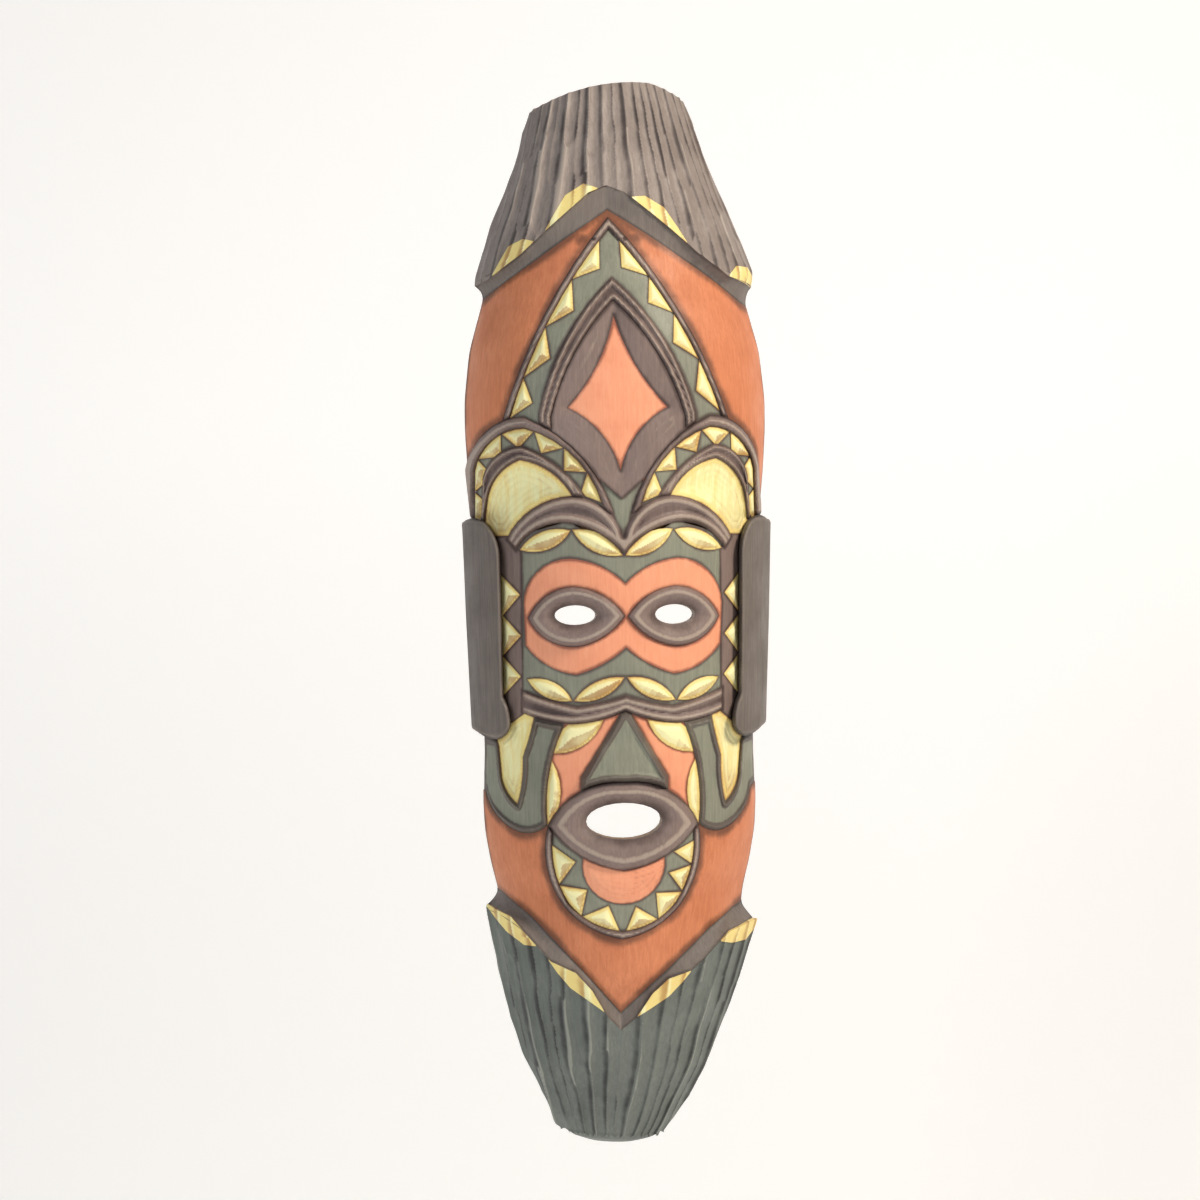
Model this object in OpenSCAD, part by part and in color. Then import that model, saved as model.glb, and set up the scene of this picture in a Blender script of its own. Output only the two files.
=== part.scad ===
// Carved wall mask: a half-round log carved into a long face, hollow behind,
// and divided along its carved steps and paint edges into separate pieces.
// x is to the viewer's right, y runs back to the wall (the back is y = 0), z is up.

/* [Overall] */
// Height of the mask
mask_h = 610; // [540:2:732]
// Width of the mask over the ears
mask_w = 182; // [150:1:210]
// How far behind the flat back the axis of the round front lies
axis_back = 20; // [10:1:30]

/* [Hollow] */
// Thickness of the wood between the front and the hollow
wall = 14; // [11:0.5:18]
// Height of the solid wood left at each end of the hollow, above the beard and below the crown
end_chamfer = 22; // [15:1:30]

/* [Relief] */
// Depth that each carved piece is let into the head
inlay = 4; // [2.5:0.5:6]
// Height of the ridges over the ground
ridge_h = 2.5; // [1.5:0.5:4]
// Height of the thin edge lines over the ground
line_h = 1.5; // [1:0.5:3]
// Height of the pale teeth and leaves over the ground
tooth_h = 0.5; // [0.2:0.1:1]
// Height of the rims round the eyes and the mouth
lip_h = 3.5; // [2:0.5:6]
// Height of the ears over the head
ear_h = 8; // [5:0.5:12]
// Height of the nose over the ground
nose_h = 7; // [4:0.5:10]
// Depth of the star below the ground
star_d = 2.5; // [1:0.5:3]
// Depth of the pale tips let into the crown and the beard
tip_d = 2; // [1:0.5:3]
// Gap between neighbouring teeth and leaves
cut_gap = 0.8; // [0.4:0.1:1.5]

/* [Openings] */
// Width of each eye hole
eye_w = 23; // [18:0.2:27.6]
// Height of each eye hole
eye_h = 11; // [8:0.5:14]
// Width of the mouth hole
mouth_w = 42.5; // [30:0.5:51]
// Height of the mouth hole
mouth_h = 20.5; // [14:0.5:24]

/* [Carver's hand] */
// How far the carving leans to the left for each mm above the eyes
top_lean = 0.03; // [0:0.005:0.05]
// How far the carving leans to the left for each mm below the eyes
bottom_lean = 0.018; // [0:0.002:0.03]
// How far the beard's edge drops to the right for each mm across
beard_drop = 0.08; // [0:0.01:0.1]
// Angle by which the crown's body tilts to the left
crown_tilt = 1.3; // [0:0.1:2]
// Angle by which the beard's body tilts to the left
beard_tilt = 3.4; // [0:0.1:4]

/* [Hanger] */
// Height of the keyhole over the middle of the mask
hang_z = 256; // [253:1:262]
// Width of the hanger plate
plate_w = 46; // [40:1:50]
// Height of the hanger plate
plate_h = 22; // [20:1:26]
// Thickness of the hanger plate
plate_t = 2; // [1.5:0.5:3]
// Diameter of the keyhole's round opening
key_d = 9.5; // [8:0.5:11]
// Width of the keyhole's slot
slot_w = 4.5; // [3.5:0.5:5]
// Length of the keyhole's slot, from the middle of the opening
slot_l = 8; // [6:0.5:9]
// Depth of the room for a nail head behind the plate
key_room = 8; // [6:0.5:12]
// Distance between the two screws
screw_pitch = 34; // [30:1:38]
// Diameter of the screws' shanks
screw_d = 3; // [2.5:0.5:4]
// Diameter of the screws' heads
head_d = 6; // [5:0.5:7]
// Length of the screws
screw_l = 14; // [10:1:18]

/* [Hidden] */

// The size that the outlines below are drawn at; they stretch with the mask.
drawn_h = 610;
drawn_w = 182;
kx = mask_w / drawn_w;
kz = mask_h / drawn_h;
hang_at = kz * hang_z;
reach = 150;
far = 110;

// Half widths of the head, the crown and the beard at the flat back, from bottom to top.
SKIN = [[-240, 52], [-205, 65], [-175, 69], [-162, 70.5], [-144, 75], [-127, 78], [-110, 79],
    [-77, 78], [0, 81], [50, 82.5], [81, 85.5], [104, 87], [122, 87], [150, 84], [179, 76],
    [208, 69.5], [242, 57]];
CROWN = [[180, 78.5], [187, 82], [208, 74], [237, 63], [266, 52.5], [308, 38.5]];
BEARD = [[-308, 10], [-305, 22], [-301, 28.5], [-296, 33], [-281, 41], [-260, 52.8],
    [-245, 57.5], [-225, 64], [-197, 71.5], [-176, 77.5], [-160, 78.5]];
// How the crown and the beard tilt: the angle, and the height that they tilt about.
CROWN_TILT = [-crown_tilt, 190];
BEARD_TILT = [beard_tilt, -190];
// Heights where the hollow ends.
hollow_low = -152;
hollow_top = 176;
hollow_end_r = 34;

// Edges of the crown and the beard, and of the painted rims under them, from the middle out.
CROWN_EDGE = [[0, 239], [10, 235], [35, 214], [50, 201], [68, 189.5], [84, 187], [far, 186]];
CROWN_RIM_EDGE = [[0, 225], [40, 198.5], [76, 176.5], [far, 170]];
BEARD_EDGE = [[0, -236], [8, -228.5], [17, -214], [26, -205], [40, -200], [53, -187],
    [62, -178], [75, -174], [far, -172]];
BEARD_RIM_EDGE = [[0, -226.5], [17, -208.5], [34, -192], [50, -177], [66, -166], [80, -161],
    [far, -158]];
CROWN_TOP = [[58, 285, 2.5], [20, 302, 5], [-62, 282, 0]];
// Spans of the pale tips along those edges.
CROWN_TIPS = [[-65, -42], [-35, -5], [14, 44], [69, 90]];
BEARD_TIPS = [[-74, -48], [-41, -10], [9, 39], [57, 84]];

// Outlines: each corner is [x, z, bulge of the line to the next corner], clockwise.
// Shapes across the middle give their right half from top to bottom.
EDGE_OUT = [[0, 221, 6.5], [64.5, 105, 0], [40, 96, 0], [0, 96, 0]];
EDGE_IN = [[0, 214, 6], [60, 107, 0], [40, 96, 0], [0, 96, 0]];
RIDGES_OUT = [[0, 186, 6.5], [44, 110, 0], [44, 95, 0], [0, 95, 0]];
RIDGES_IN = [[0, 172.5, 5], [37, 108, 0], [37, 95, 0], [0, 62, 0]];
STAR = [[0, 164.5, -4], [27.8, 113, -5], [0, 77.5, 0]];
VALLEY = [[0, 74, 0], [12, 74, 0], [12, 40, 0], [0, 40, 0]];
EYEBROW = [[0, 41, 6], [28, 64, 6], [64, 41, 0], [59, 34.5, -5], [30, 49, -3.5], [0, 30.5, 0]];
UNDER_BROW = [[0, 41, 6], [28, 64, 6], [64, 41, 0], [64, 10, 0], [0, 10, 0]];
EYE_BAND = [[0, 15, 3], [30, 29.3, 7.5], [56, 4, 0], [55, -19, 3.5], [27.3, -35.4, 1.8],
    [0, -20.5, 0]];
UNDER_EYE = [[0, -47, -0.7], [27, -53, -0.8], [57, -43.7, 0], [57, -56.7, 1.3], [30, -63, 1.5],
    [0, -56, 0]];
CENTRE = [[0, 31, 0], [30, 50, 0], [64, 41, 0], [56, 34, 0], [56, -54, 0], [0, -54, 0]];
NOSE = [[0, -52, 0], [24.5, -92.5, 0], [24.5, -101, 0], [0, -103, 0]];
MUZZLE = [[0, -54, 0], [50, -54, 0], [50, -119.5, 0], [0, -119.5, 0]];
MOUTH = [[0, -95.3, 8], [42.3, -119.5, 5.5], [0, -145, 0]];
CHIN_OUT = [[0, -119.5, 0], [42.3, -119.5, 5], [33, -165.5, 3.5], [0, -184, 0]];
CHIN_IN = [[0, -121, 0], [39, -121, 4], [30, -164, 3.5], [0, -179.3, 0]];
TONGUE = [[0, -136, 0], [22.8, -138, 8], [0, -164, 0]];
// Shapes at each side, drawn for the right.
ARCH_OUT = [[3, 47, 9.5], [52, 109, 8], [83, 84, 0], [84.5, 43, 0], [30, 43, 0]];
ARCH_IN = [[9.5, 50, 10], [52, 102.3, 6.5], [79.3, 81, 0], [80.5, 43, 0],
    [30, 43, 0]];
BAND_OUT = [[17, 58, 4.5], [54, 93, 5], [75.5, 76, 0], [77.5, 43, 0], [30, 43, 0]];
CRESCENT = [[26.5, 62, 4.5], [55, 85, 4.5], [73.5, 62, 0.5], [75, 43, 0],
    [40, 43, 0]];
EYE_RIM = [[0.5, -3, 4], [29, 13.8, 4.5], [54, -3.5, 5], [27.5, -20, 3.5]];
UPPER_LEAF_IN = [[0.8, 30.7, 5], [28, 45.4, 5.5]];
UPPER_LEAF_OUT = [[28.9, 45, 5], [57, 34.8, 5.5]];
LOWER_LEAF_IN = [[0.8, -37, 4.5], [28.4, -50, 5]];
LOWER_LEAF_OUT = [[29.4, -50, 5], [54, -38, 4.5]];
CHEEK_LEAF_TOP = [[12, -60, 7.5], [43, -79, 7]];
CHEEK_LEAF_SIDE = [[43.5, -79, 6], [43, -122, 8]];
TEMPLE = [[50, 43, 0], [74, 43, 0], [74, -72, 0], [50, -53.3, 0]];
EAR = [[68, 30, 2], [75, 51, 2], [90, 53, 0], [far, 52, 0], [far, -62, 0], [84, -69, 1],
    [70, -72.5, 2], [63, -63, 1], [67, -48, 0]];
CHEEK = [[30, -56, 0], [70, -55, 0], [far, -60, 0], [far, -84, 0], [76, -103, 4],
    [57.5, -124.5, 2], [42.3, -119.7, -5]];
WEDGE = [[49.5, -56, 0], [56, -48, 0], [74, -60, 0], [69, -76, 0], [67.5, -92, 2],
    [58.8, -108.5, 1], [56, -82, 0.5]];
// Places of the tooth cuts, from the start of each curve.
FOREHEAD_CUTS_LEFT = [8.6, 36, 67, 98, 122];
FOREHEAD_CUTS_RIGHT = [8.6, 34.5, 59, 88, 119];
BROW_CUTS = [for (i = [0:7]) 10 + 18.5 * i];
CHIN_CUTS_LEFT = [9.5, 33, 55, 78];
CHIN_CUTS_RIGHT = [8, 22, 38, 58.5, 78];
TEMPLE_CUTS = [0, 23, 46, 69];
TEMPLE_LINE = [[67.3, 21], [66.8, -48]];
forehead_tooth = 9;
brow_tooth = 8.5;
chin_tooth = 11;
temple_tooth = 9.5;
past = 1.3;
eye_at = [27.8, -2.2];
mouth_at = [0, -117.2];
plate_mid = slot_l / 2 - 1;

black = [0.22, 0.22, 0.22];
grey = [0.43, 0.43, 0.40];
green_grey = [0.40, 0.43, 0.39];
ridge = [0.40, 0.35, 0.34];
cream = [0.96, 0.87, 0.60];
salmon = [0.93, 0.58, 0.47];
orange = [0.80, 0.45, 0.31];
steel = [0.70, 0.70, 0.68];

// --- Points and outlines ------------------------------------------------------------

// A drawn point as the carver set it: stretched to the mask and leaning a little.
function lean(z) = z > 0 ? -top_lean * z : bottom_lean * z;
function set_out(p) = [kx * (p.x + lean(p.y)), kz * p.y];
function dropped(p) = [p.x, p.y - beard_drop * p.x];

// n points of the arc from a towards b that bulges by sag to the left; b is left out.
function arc(a, b, sag, n) =
    abs(sag) < 0.01 ? [for (i = [0:n - 1]) a + (b - a) * i / n] :
    let (
        d = b - a,
        r = (d * d / 4 + sag * sag) / (2 * sag),
        c = (a + b) / 2 + [-d.y, d.x] / norm(d) * (sag - r),
        a0 = atan2(a.y - c.y, a.x - c.x),
        turn = atan2(b.y - c.y, b.x - c.x) - a0,
        sweep = turn - 360 * round(turn / 360)
    ) [for (i = [0:n - 1]) c + abs(r) * [cos(a0 + sweep * i / n), sin(a0 + sweep * i / n)]];

function xz(p) = [p.x, p.y];
function outline(k, n = 8) = [for (i = [0:len(k) - 1])
    each arc(xz(k[i]), xz(k[(i + 1) % len(k)]), k[i].z, k[i].z == 0 ? 1 : n)];
// The whole of a shape whose right half is given, and a side shape for one side.
function whole(k) = let (last = len(k) - 1) concat(
    [for (i = [0:last - 1]) k[i]],
    [[k[last].x, k[last].y, k[last - 1].z]],
    [for (i = [last - 1:-1:1]) [-k[i].x, k[i].y, k[i - 1].z]]);
function on_side(k, side) = [for (p = k) [side * p.x, p.y, side * p.z]];
function line_across(k) = concat([for (i = [len(k) - 1:-1:1]) [-k[i].x, k[i].y]], k);
// The first points of an outline, and the point some way along a list of points.
function run(k, from, to) = let (points = outline(k)) [for (i = [from:to]) points[i]];
function along(c, way, i = 0) = let (step = norm(c[i + 1] - c[i]))
    way <= step || i == len(c) - 2 ? c[i] + (c[i + 1] - c[i]) * way / step :
    along(c, way - step, i + 1);
function height_at(k, x) = lookup(abs(x), k);

module drawn(points) polygon([for (p = points) set_out(p)]);
module upright(points) polygon([for (p = points) [kx * p.x, kz * p.y]]);
module middle(k) drawn(outline(whole(k)));
module side_shape(k, side) drawn(outline(on_side(k, side)));
module both(k) {
    side_shape(k, 1);
    side_shape(k, -1);
}

// Teeth between cuts along a curve: triangles with their points inwards, that run out past
// the curve so that the shape they stand in trims them to it.
module teeth(curve, cuts, depth, side) {
    for (i = [0:len(cuts) - 2]) {
        a = along(curve, cuts[i] + cut_gap / 2);
        b = along(curve, cuts[i + 1] - cut_gap / 2);
        point = (a + b) / 2 + [b.y - a.y, a.x - b.x] / norm(b - a) * depth;
        drawn([for (p = [point, point + (a - point) * past, point + (b - point) * past])
            [side * p.x, p.y]]);
    }
}

// --- Solids of revolution -------------------------------------------------------------

// A body turned about the upright axis behind the back, its surface lifted by some height.
// A tilt is an angle and the height of the point that the body tilts about.
function radius(w) = sqrt(pow(kx * w, 2) + pow(axis_back, 2));
module turned(profile, lift = 0, tilt = [0, 0]) {
    last = len(profile) - 1;
    pivot = [0, axis_back, kz * tilt[1]];
    translate(pivot) rotate([0, tilt[0], 0]) translate([0, 0, -kz * tilt[1]])
        rotate_extrude($fn = 180)
            polygon(concat(
                [[0, kz * profile[0].x]],
                [for (p = profile) [radius(p.y) + lift, kz * p.x]],
                [[0, kz * profile[last].x]]));
}
// A flat shape pushed straight back through the mask, or from some depth to another.
module through() rotate([90, 0, 0]) linear_extrude(height = reach) children();

// One carved piece: the shape given, from the inlay's floor up to its own height.
module piece(profile, height, depth, tilt = [0, 0]) {
    intersection() {
        difference() {
            turned(profile, height, tilt);
            turned(profile, -depth, tilt);
        }
        through() children();
    }
}
module carved(height) piece(SKIN, height, inlay) children();

module hollow() {
    inner = [for (p = SKIN) if (p.x > hollow_low + end_chamfer && p.x < hollow_top - end_chamfer)
        [radius(p.y) - wall, kz * p.x]];
    low_r = radius(lookup(hollow_low + end_chamfer, SKIN)) - wall;
    top_r = radius(lookup(hollow_top - end_chamfer, SKIN)) - wall;
    translate([0, axis_back, 0])
        rotate_extrude($fn = 180)
            polygon(concat(
                [[0, kz * hollow_low], [hollow_end_r, kz * hollow_low],
                    [low_r, kz * (hollow_low + end_chamfer)]],
                inner,
                [[top_r, kz * (hollow_top - end_chamfer)], [hollow_end_r, kz * hollow_top],
                    [0, kz * hollow_top]]));
}

// --- Flat shapes, each less the ones that stand over it -----------------------------------

module above_edge(k, drop = false) {
    line = line_across(k);
    drawn(concat([for (p = line) drop ? dropped(p) : p], [[far, 330], [-far, 330]]));
}
module crown_area() intersection() {
    above_edge(CROWN_EDGE);
    upright(outline(concat([for (p = CROWN_TOP) [p.x, p.y, -p.z]],
        [[-far, CROWN_TOP[2].y, 0], [-far, 0, 0], [far, 0, 0], [far, CROWN_TOP[0].y, 0]])));
}
module head_area() difference() {
    above_edge(BEARD_EDGE, true);
    above_edge(CROWN_EDGE);
}
module beard_area() difference() {
    drawn([[-far, 0], [far, 0], [far, -330], [-far, -330]]);
    above_edge(BEARD_EDGE, true);
}
module crown_rim_area() difference() {
    above_edge(CROWN_RIM_EDGE);
    above_edge(CROWN_EDGE);
}
module beard_rim_area() difference() {
    above_edge(BEARD_EDGE, true);
    above_edge(BEARD_RIM_EDGE, true);
}
// A pale tip over an edge: low at both ends and high past its middle. Its foot runs on past
// the edge, so that the shape it is let into trims it there.
module tip(span, edge, up, drop) {
    near = abs(span[0]) < abs(span[1]) ? span[0] : span[1];
    other = abs(span[0]) < abs(span[1]) ? span[1] : span[0];
    shape = [[0, -10], [0, 0.5], [0.25, 7.5], [0.6, 10], [0.85, 4.5], [1, 0.5], [1, -10]];
    points = [for (q = shape) let (x = near + (other - near) * q.x)
        [x, height_at(edge, x) + up * q.y]];
    drawn([for (p = points) drop ? dropped(p) : p]);
}
module crown_tip_shapes() for (span = CROWN_TIPS) tip(span, CROWN_EDGE, 1, false);
module beard_tip_shapes() for (span = BEARD_TIPS) tip(span, BEARD_EDGE, -1, true);

module ears_area() both(EAR);
module arch_area(side) difference() {
    side_shape(ARCH_OUT, side);
    middle(UNDER_BROW);
    ears_area();
}
module arches_area() {
    arch_area(1);
    arch_area(-1);
}
module in_arch(k, side) intersection() {
    arch_area(side);
    side_shape(k, side);
}
module brow_cuts(side) teeth(run(ARCH_IN, 0, 17), BROW_CUTS, brow_tooth, side);
module forehead_inside() difference() {
    middle(EDGE_IN);
    arches_area();
    middle(RIDGES_OUT);
}
module forehead_cuts() for (side = [1, -1])
    teeth(run(EDGE_IN, 0, 8), side > 0 ? FOREHEAD_CUTS_RIGHT : FOREHEAD_CUTS_LEFT,
        forehead_tooth, side);
module star_bevel_area() difference() {
    middle(RIDGES_IN);
    arches_area();
    middle(STAR);
}
module upper_leaves_area() {
    both(UPPER_LEAF_IN);
    both(UPPER_LEAF_OUT);
}
module lower_leaves_area() difference() {
    union() {
        both(LOWER_LEAF_IN);
        both(LOWER_LEAF_OUT);
    }
    middle(UNDER_EYE);
}
module centre_area() difference() {
    middle(CENTRE);
    middle(EYEBROW);
    middle(UNDER_EYE);
    middle(EYE_BAND);
}
module temple_area(side) difference() {
    side_shape(TEMPLE, side);
    ears_area();
    middle(EYEBROW);
    middle(CENTRE);
    middle(EYE_BAND);
    middle(UNDER_EYE);
}
module temple_cuts(side) teeth(TEMPLE_LINE, TEMPLE_CUTS, temple_tooth, side);
module cheek_area(side) difference() {
    side_shape(CHEEK, side);
    ears_area();
    middle(UNDER_EYE);
    side_shape(TEMPLE, side);
}
module wedge_area(side) intersection() {
    cheek_area(side);
    side_shape(WEDGE, side);
}
module muzzle_area() difference() {
    middle(MUZZLE);
    middle(UNDER_EYE);
    middle(MOUTH);
    middle(NOSE);
    both(CHEEK);
}
module cheek_leaf_shapes() {
    both(CHEEK_LEAF_TOP);
    both(CHEEK_LEAF_SIDE);
}
module chin_inside() difference() {
    middle(CHIN_IN);
    middle(MOUTH);
    middle(TONGUE);
}
module chin_cuts() for (side = [1, -1])
    teeth(run(CHIN_IN, 1, 17), side > 0 ? CHIN_CUTS_RIGHT : CHIN_CUTS_LEFT, chin_tooth, side);
module oval(at, w, h) {
    centre = set_out(at);
    polygon([for (i = [0:23]) centre + [w / 2 * cos(15 * i), h / 2 * sin(15 * i)]]);
}
module openings_area() {
    for (side = [1, -1]) oval([side * eye_at.x, eye_at.y], eye_w, eye_h);
    oval(mouth_at, mouth_w, mouth_h);
}
// All that is let into the head. The rims' pockets run on past the ends of the head.
module pattern_area() {
    middle(EDGE_OUT);
    middle(RIDGES_IN);
    both(ARCH_OUT);
    middle(VALLEY);
    middle(UNDER_BROW);
    middle(CENTRE);
    middle(UNDER_EYE);
    both(TEMPLE);
    ears_area();
    both(CHEEK);
    middle(MUZZLE);
    middle(MOUTH);
    middle(CHIN_OUT);
    above_edge(CROWN_RIM_EDGE);
    difference() {
        drawn([[-far, 0], [far, 0], [far, -330], [-far, -330]]);
        above_edge(BEARD_RIM_EDGE, true);
    }
}

// --- The pieces -----------------------------------------------------------------------------

// Every piece is set down with the keyhole's middle at the origin.
module set_down(c) color(c) translate([0, 0, -hang_at]) children();

module head_shell() set_down(orange) difference() {
    intersection() {
        turned(SKIN);
        through() head_area();
    }
    hollow();
    through() openings_area();
    intersection() {
        difference() {
            turned(SKIN, ear_h);
            turned(SKIN, -inlay);
        }
        through() pattern_area();
    }
}
module crown() set_down(grey) difference() {
    intersection() {
        turned(CROWN, 0, CROWN_TILT);
        through() crown_area();
    }
    piece(CROWN, ear_h, tip_d, CROWN_TILT) crown_tip_shapes();
    hanger_room();
}
module crown_rim() set_down(black) carved(line_h) crown_rim_area();
module crown_tips() set_down(cream) piece(CROWN, tooth_h, tip_d, CROWN_TILT) intersection() {
    crown_tip_shapes();
    crown_area();
}
module beard() set_down(green_grey) difference() {
    intersection() {
        turned(BEARD, 0, BEARD_TILT);
        through() beard_area();
    }
    piece(BEARD, ear_h, tip_d, BEARD_TILT) beard_tip_shapes();
}
module beard_rim() set_down(black) carved(line_h) beard_rim_area();
module beard_tips() set_down(cream) piece(BEARD, tooth_h, tip_d, BEARD_TILT) intersection() {
    beard_tip_shapes();
    beard_area();
}

module forehead_edge() set_down(black) carved(line_h) difference() {
    middle(EDGE_OUT);
    middle(EDGE_IN);
    arches_area();
}
module forehead_ground() set_down(green_grey) carved(0) difference() {
    forehead_inside();
    forehead_cuts();
}
module forehead_teeth() set_down(cream) carved(tooth_h) intersection() {
    forehead_inside();
    forehead_cuts();
}
module forehead_ridges() set_down(ridge) carved(ridge_h) difference() {
    middle(RIDGES_OUT);
    middle(RIDGES_IN);
    arches_area();
}
module star_bevel() set_down(ridge) carved(0) star_bevel_area();
module forehead_star() set_down(salmon) carved(-star_d) middle(STAR);
module brow_valley() set_down(green_grey) carved(0) difference() {
    middle(VALLEY);
    arches_area();
    middle(UNDER_BROW);
    middle(RIDGES_IN);
}
module brow_arch(side) set_down(ridge) carved(ridge_h) difference() {
    arch_area(side);
    side_shape(ARCH_IN, side);
}
module brow_arch_left() brow_arch(-1);
module brow_arch_right() brow_arch(1);
module brow_teeth() set_down(cream) carved(tooth_h) for (side = [1, -1]) difference() {
    intersection() {
        in_arch(ARCH_IN, side);
        brow_cuts(side);
    }
    side_shape(BAND_OUT, side);
}
module brow_ground() set_down(green_grey) carved(0) for (side = [1, -1]) difference() {
    in_arch(ARCH_IN, side);
    side_shape(BAND_OUT, side);
    brow_cuts(side);
}
module brow_band(side) set_down(ridge) carved(ridge_h) difference() {
    in_arch(BAND_OUT, side);
    side_shape(CRESCENT, side);
}
module brow_band_left() brow_band(-1);
module brow_band_right() brow_band(1);
module brow_crescent_left() set_down(cream) carved(0) in_arch(CRESCENT, -1);
module brow_crescent_right() set_down(cream) carved(0) in_arch(CRESCENT, 1);
module eyebrow_ridge() set_down(ridge) carved(ridge_h) difference() {
    middle(EYEBROW);
    ears_area();
}
module eye_ground_upper() set_down(green_grey) carved(0) difference() {
    intersection() {
        centre_area();
        drawn([[-far, 0], [-far, 60], [far, 60], [far, 0]]);
    }
    upper_leaves_area();
}
module upper_leaves() set_down(cream) carved(tooth_h) difference() {
    upper_leaves_area();
    middle(EYEBROW);
    middle(EYE_BAND);
}
module eye_band() set_down(salmon) carved(0) difference() {
    middle(EYE_BAND);
    both(EYE_RIM);
}
module eye_rim(side) set_down(ridge) carved(lip_h) difference() {
    side_shape(EYE_RIM, side);
    openings_area();
}
module eye_rim_left() eye_rim(-1);
module eye_rim_right() eye_rim(1);
module eye_ground_lower() set_down(green_grey) carved(0) difference() {
    intersection() {
        centre_area();
        drawn([[-far, 0], [far, 0], [far, -60], [-far, -60]]);
    }
    lower_leaves_area();
}
module lower_leaves() set_down(cream) carved(tooth_h) difference() {
    lower_leaves_area();
    middle(EYE_BAND);
}
module under_eye_ridge() set_down(ridge) carved(ridge_h) middle(UNDER_EYE);
module temple(side) set_down(ridge) carved(0) difference() {
    temple_area(side);
    temple_cuts(side);
}
module temple_left() temple(-1);
module temple_right() temple(1);
module temple_teeth() set_down(cream) carved(tooth_h) for (side = [1, -1]) intersection() {
    temple_area(side);
    temple_cuts(side);
}
module ear_left() set_down(black) carved(ear_h) side_shape(EAR, -1);
module ear_right() set_down(black) carved(ear_h) side_shape(EAR, 1);
module nose() set_down(green_grey) carved(nose_h) difference() {
    middle(NOSE);
    middle(UNDER_EYE);
    middle(MOUTH);
}
module cheek_panel(side) set_down(salmon) carved(0) intersection() {
    difference() {
        muzzle_area();
        cheek_leaf_shapes();
    }
    drawn([[0, -40], [side * far, -40], [side * far, -130], [0, -130]]);
}
module cheek_panel_left() cheek_panel(-1);
module cheek_panel_right() cheek_panel(1);
module cheek_leaves() set_down(cream) carved(tooth_h) intersection() {
    muzzle_area();
    cheek_leaf_shapes();
}
module cheek_band(side) set_down(green_grey) carved(line_h) difference() {
    cheek_area(side);
    side_shape(WEDGE, side);
}
module cheek_band_left() cheek_band(-1);
module cheek_band_right() cheek_band(1);
module cheek_wedge_left() set_down(cream) carved(0) wedge_area(-1);
module cheek_wedge_right() set_down(cream) carved(0) wedge_area(1);
module mouth_rim() set_down(ridge) carved(lip_h) difference() {
    middle(MOUTH);
    openings_area();
}
module chin_edge() set_down(ridge) carved(line_h) difference() {
    middle(CHIN_OUT);
    middle(CHIN_IN);
    middle(MOUTH);
}
module chin_ground() set_down(green_grey) carved(0) difference() {
    chin_inside();
    chin_cuts();
}
module chin_teeth() set_down(cream) carved(tooth_h) intersection() {
    chin_inside();
    chin_cuts();
}
module tongue() set_down(salmon) carved(tooth_h) difference() {
    middle(TONGUE);
    middle(MOUTH);
}

// The hanger: a keyhole plate let flush into the back of the crown, and its screws.
module into_back(depth) translate([0, 0, hang_at]) rotate([90, 0, 0])
    linear_extrude(height = depth) children();
module keyhole(room = 0) {
    circle(d = key_d + 2 * room, $fn = 48);
    translate([0, slot_l]) circle(d = slot_w + 2 * room, $fn = 32);
    translate([-slot_w / 2 - room, 0]) square([slot_w + 2 * room, slot_l]);
}
module at_screws() for (x = [-screw_pitch / 2, screw_pitch / 2])
    translate([x, 0, hang_at + plate_mid]) rotate([90, 0, 0]) children();
module plate_outline() translate([-plate_w / 2, plate_mid - plate_h / 2])
    square([plate_w, plate_h]);
module screw_shape() {
    cylinder(d1 = head_d, d2 = screw_d, h = plate_t, $fn = 32);
    cylinder(d = screw_d, h = screw_l, $fn = 32);
}
module hanger_room() {
    into_back(plate_t) plate_outline();
    into_back(plate_t + key_room) keyhole(2);
    at_screws() screw_shape();
}
module hanger_plate() set_down(steel) difference() {
    into_back(plate_t) plate_outline();
    into_back(plate_t) keyhole();
    at_screws() screw_shape();
}
module hanger_screws() set_down(steel) at_screws() screw_shape();

head_shell();
crown();
crown_rim();
crown_tips();
forehead_edge();
forehead_ground();
forehead_teeth();
forehead_ridges();
star_bevel();
forehead_star();
brow_valley();
brow_arch_left();
brow_arch_right();
brow_teeth();
brow_ground();
brow_band_left();
brow_band_right();
brow_crescent_left();
brow_crescent_right();
eyebrow_ridge();
eye_ground_upper();
upper_leaves();
eye_band();
eye_rim_left();
eye_rim_right();
eye_ground_lower();
lower_leaves();
under_eye_ridge();
temple_left();
temple_right();
temple_teeth();
ear_left();
ear_right();
nose();
cheek_panel_left();
cheek_panel_right();
cheek_leaves();
cheek_band_left();
cheek_band_right();
cheek_wedge_left();
cheek_wedge_right();
mouth_rim();
chin_edge();
chin_ground();
chin_teeth();
tongue();
beard_rim();
beard();
beard_tips();
hanger_plate();
hanger_screws();
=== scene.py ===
"""Carved and painted wall mask: the looks of a half-round log carved into a long face.

Every carved area is meshed again over its solid, with rounded ridges, faceted teeth, gouge
flutes and scooped hollows, and then painted. Lengths are in metres unless a name ends in _mm.
"""

import logging
import math
from dataclasses import dataclass, field
from enum import Enum

import bpy
import numpy as np
from mathutils import Matrix, Vector, geometry, noise


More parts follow.
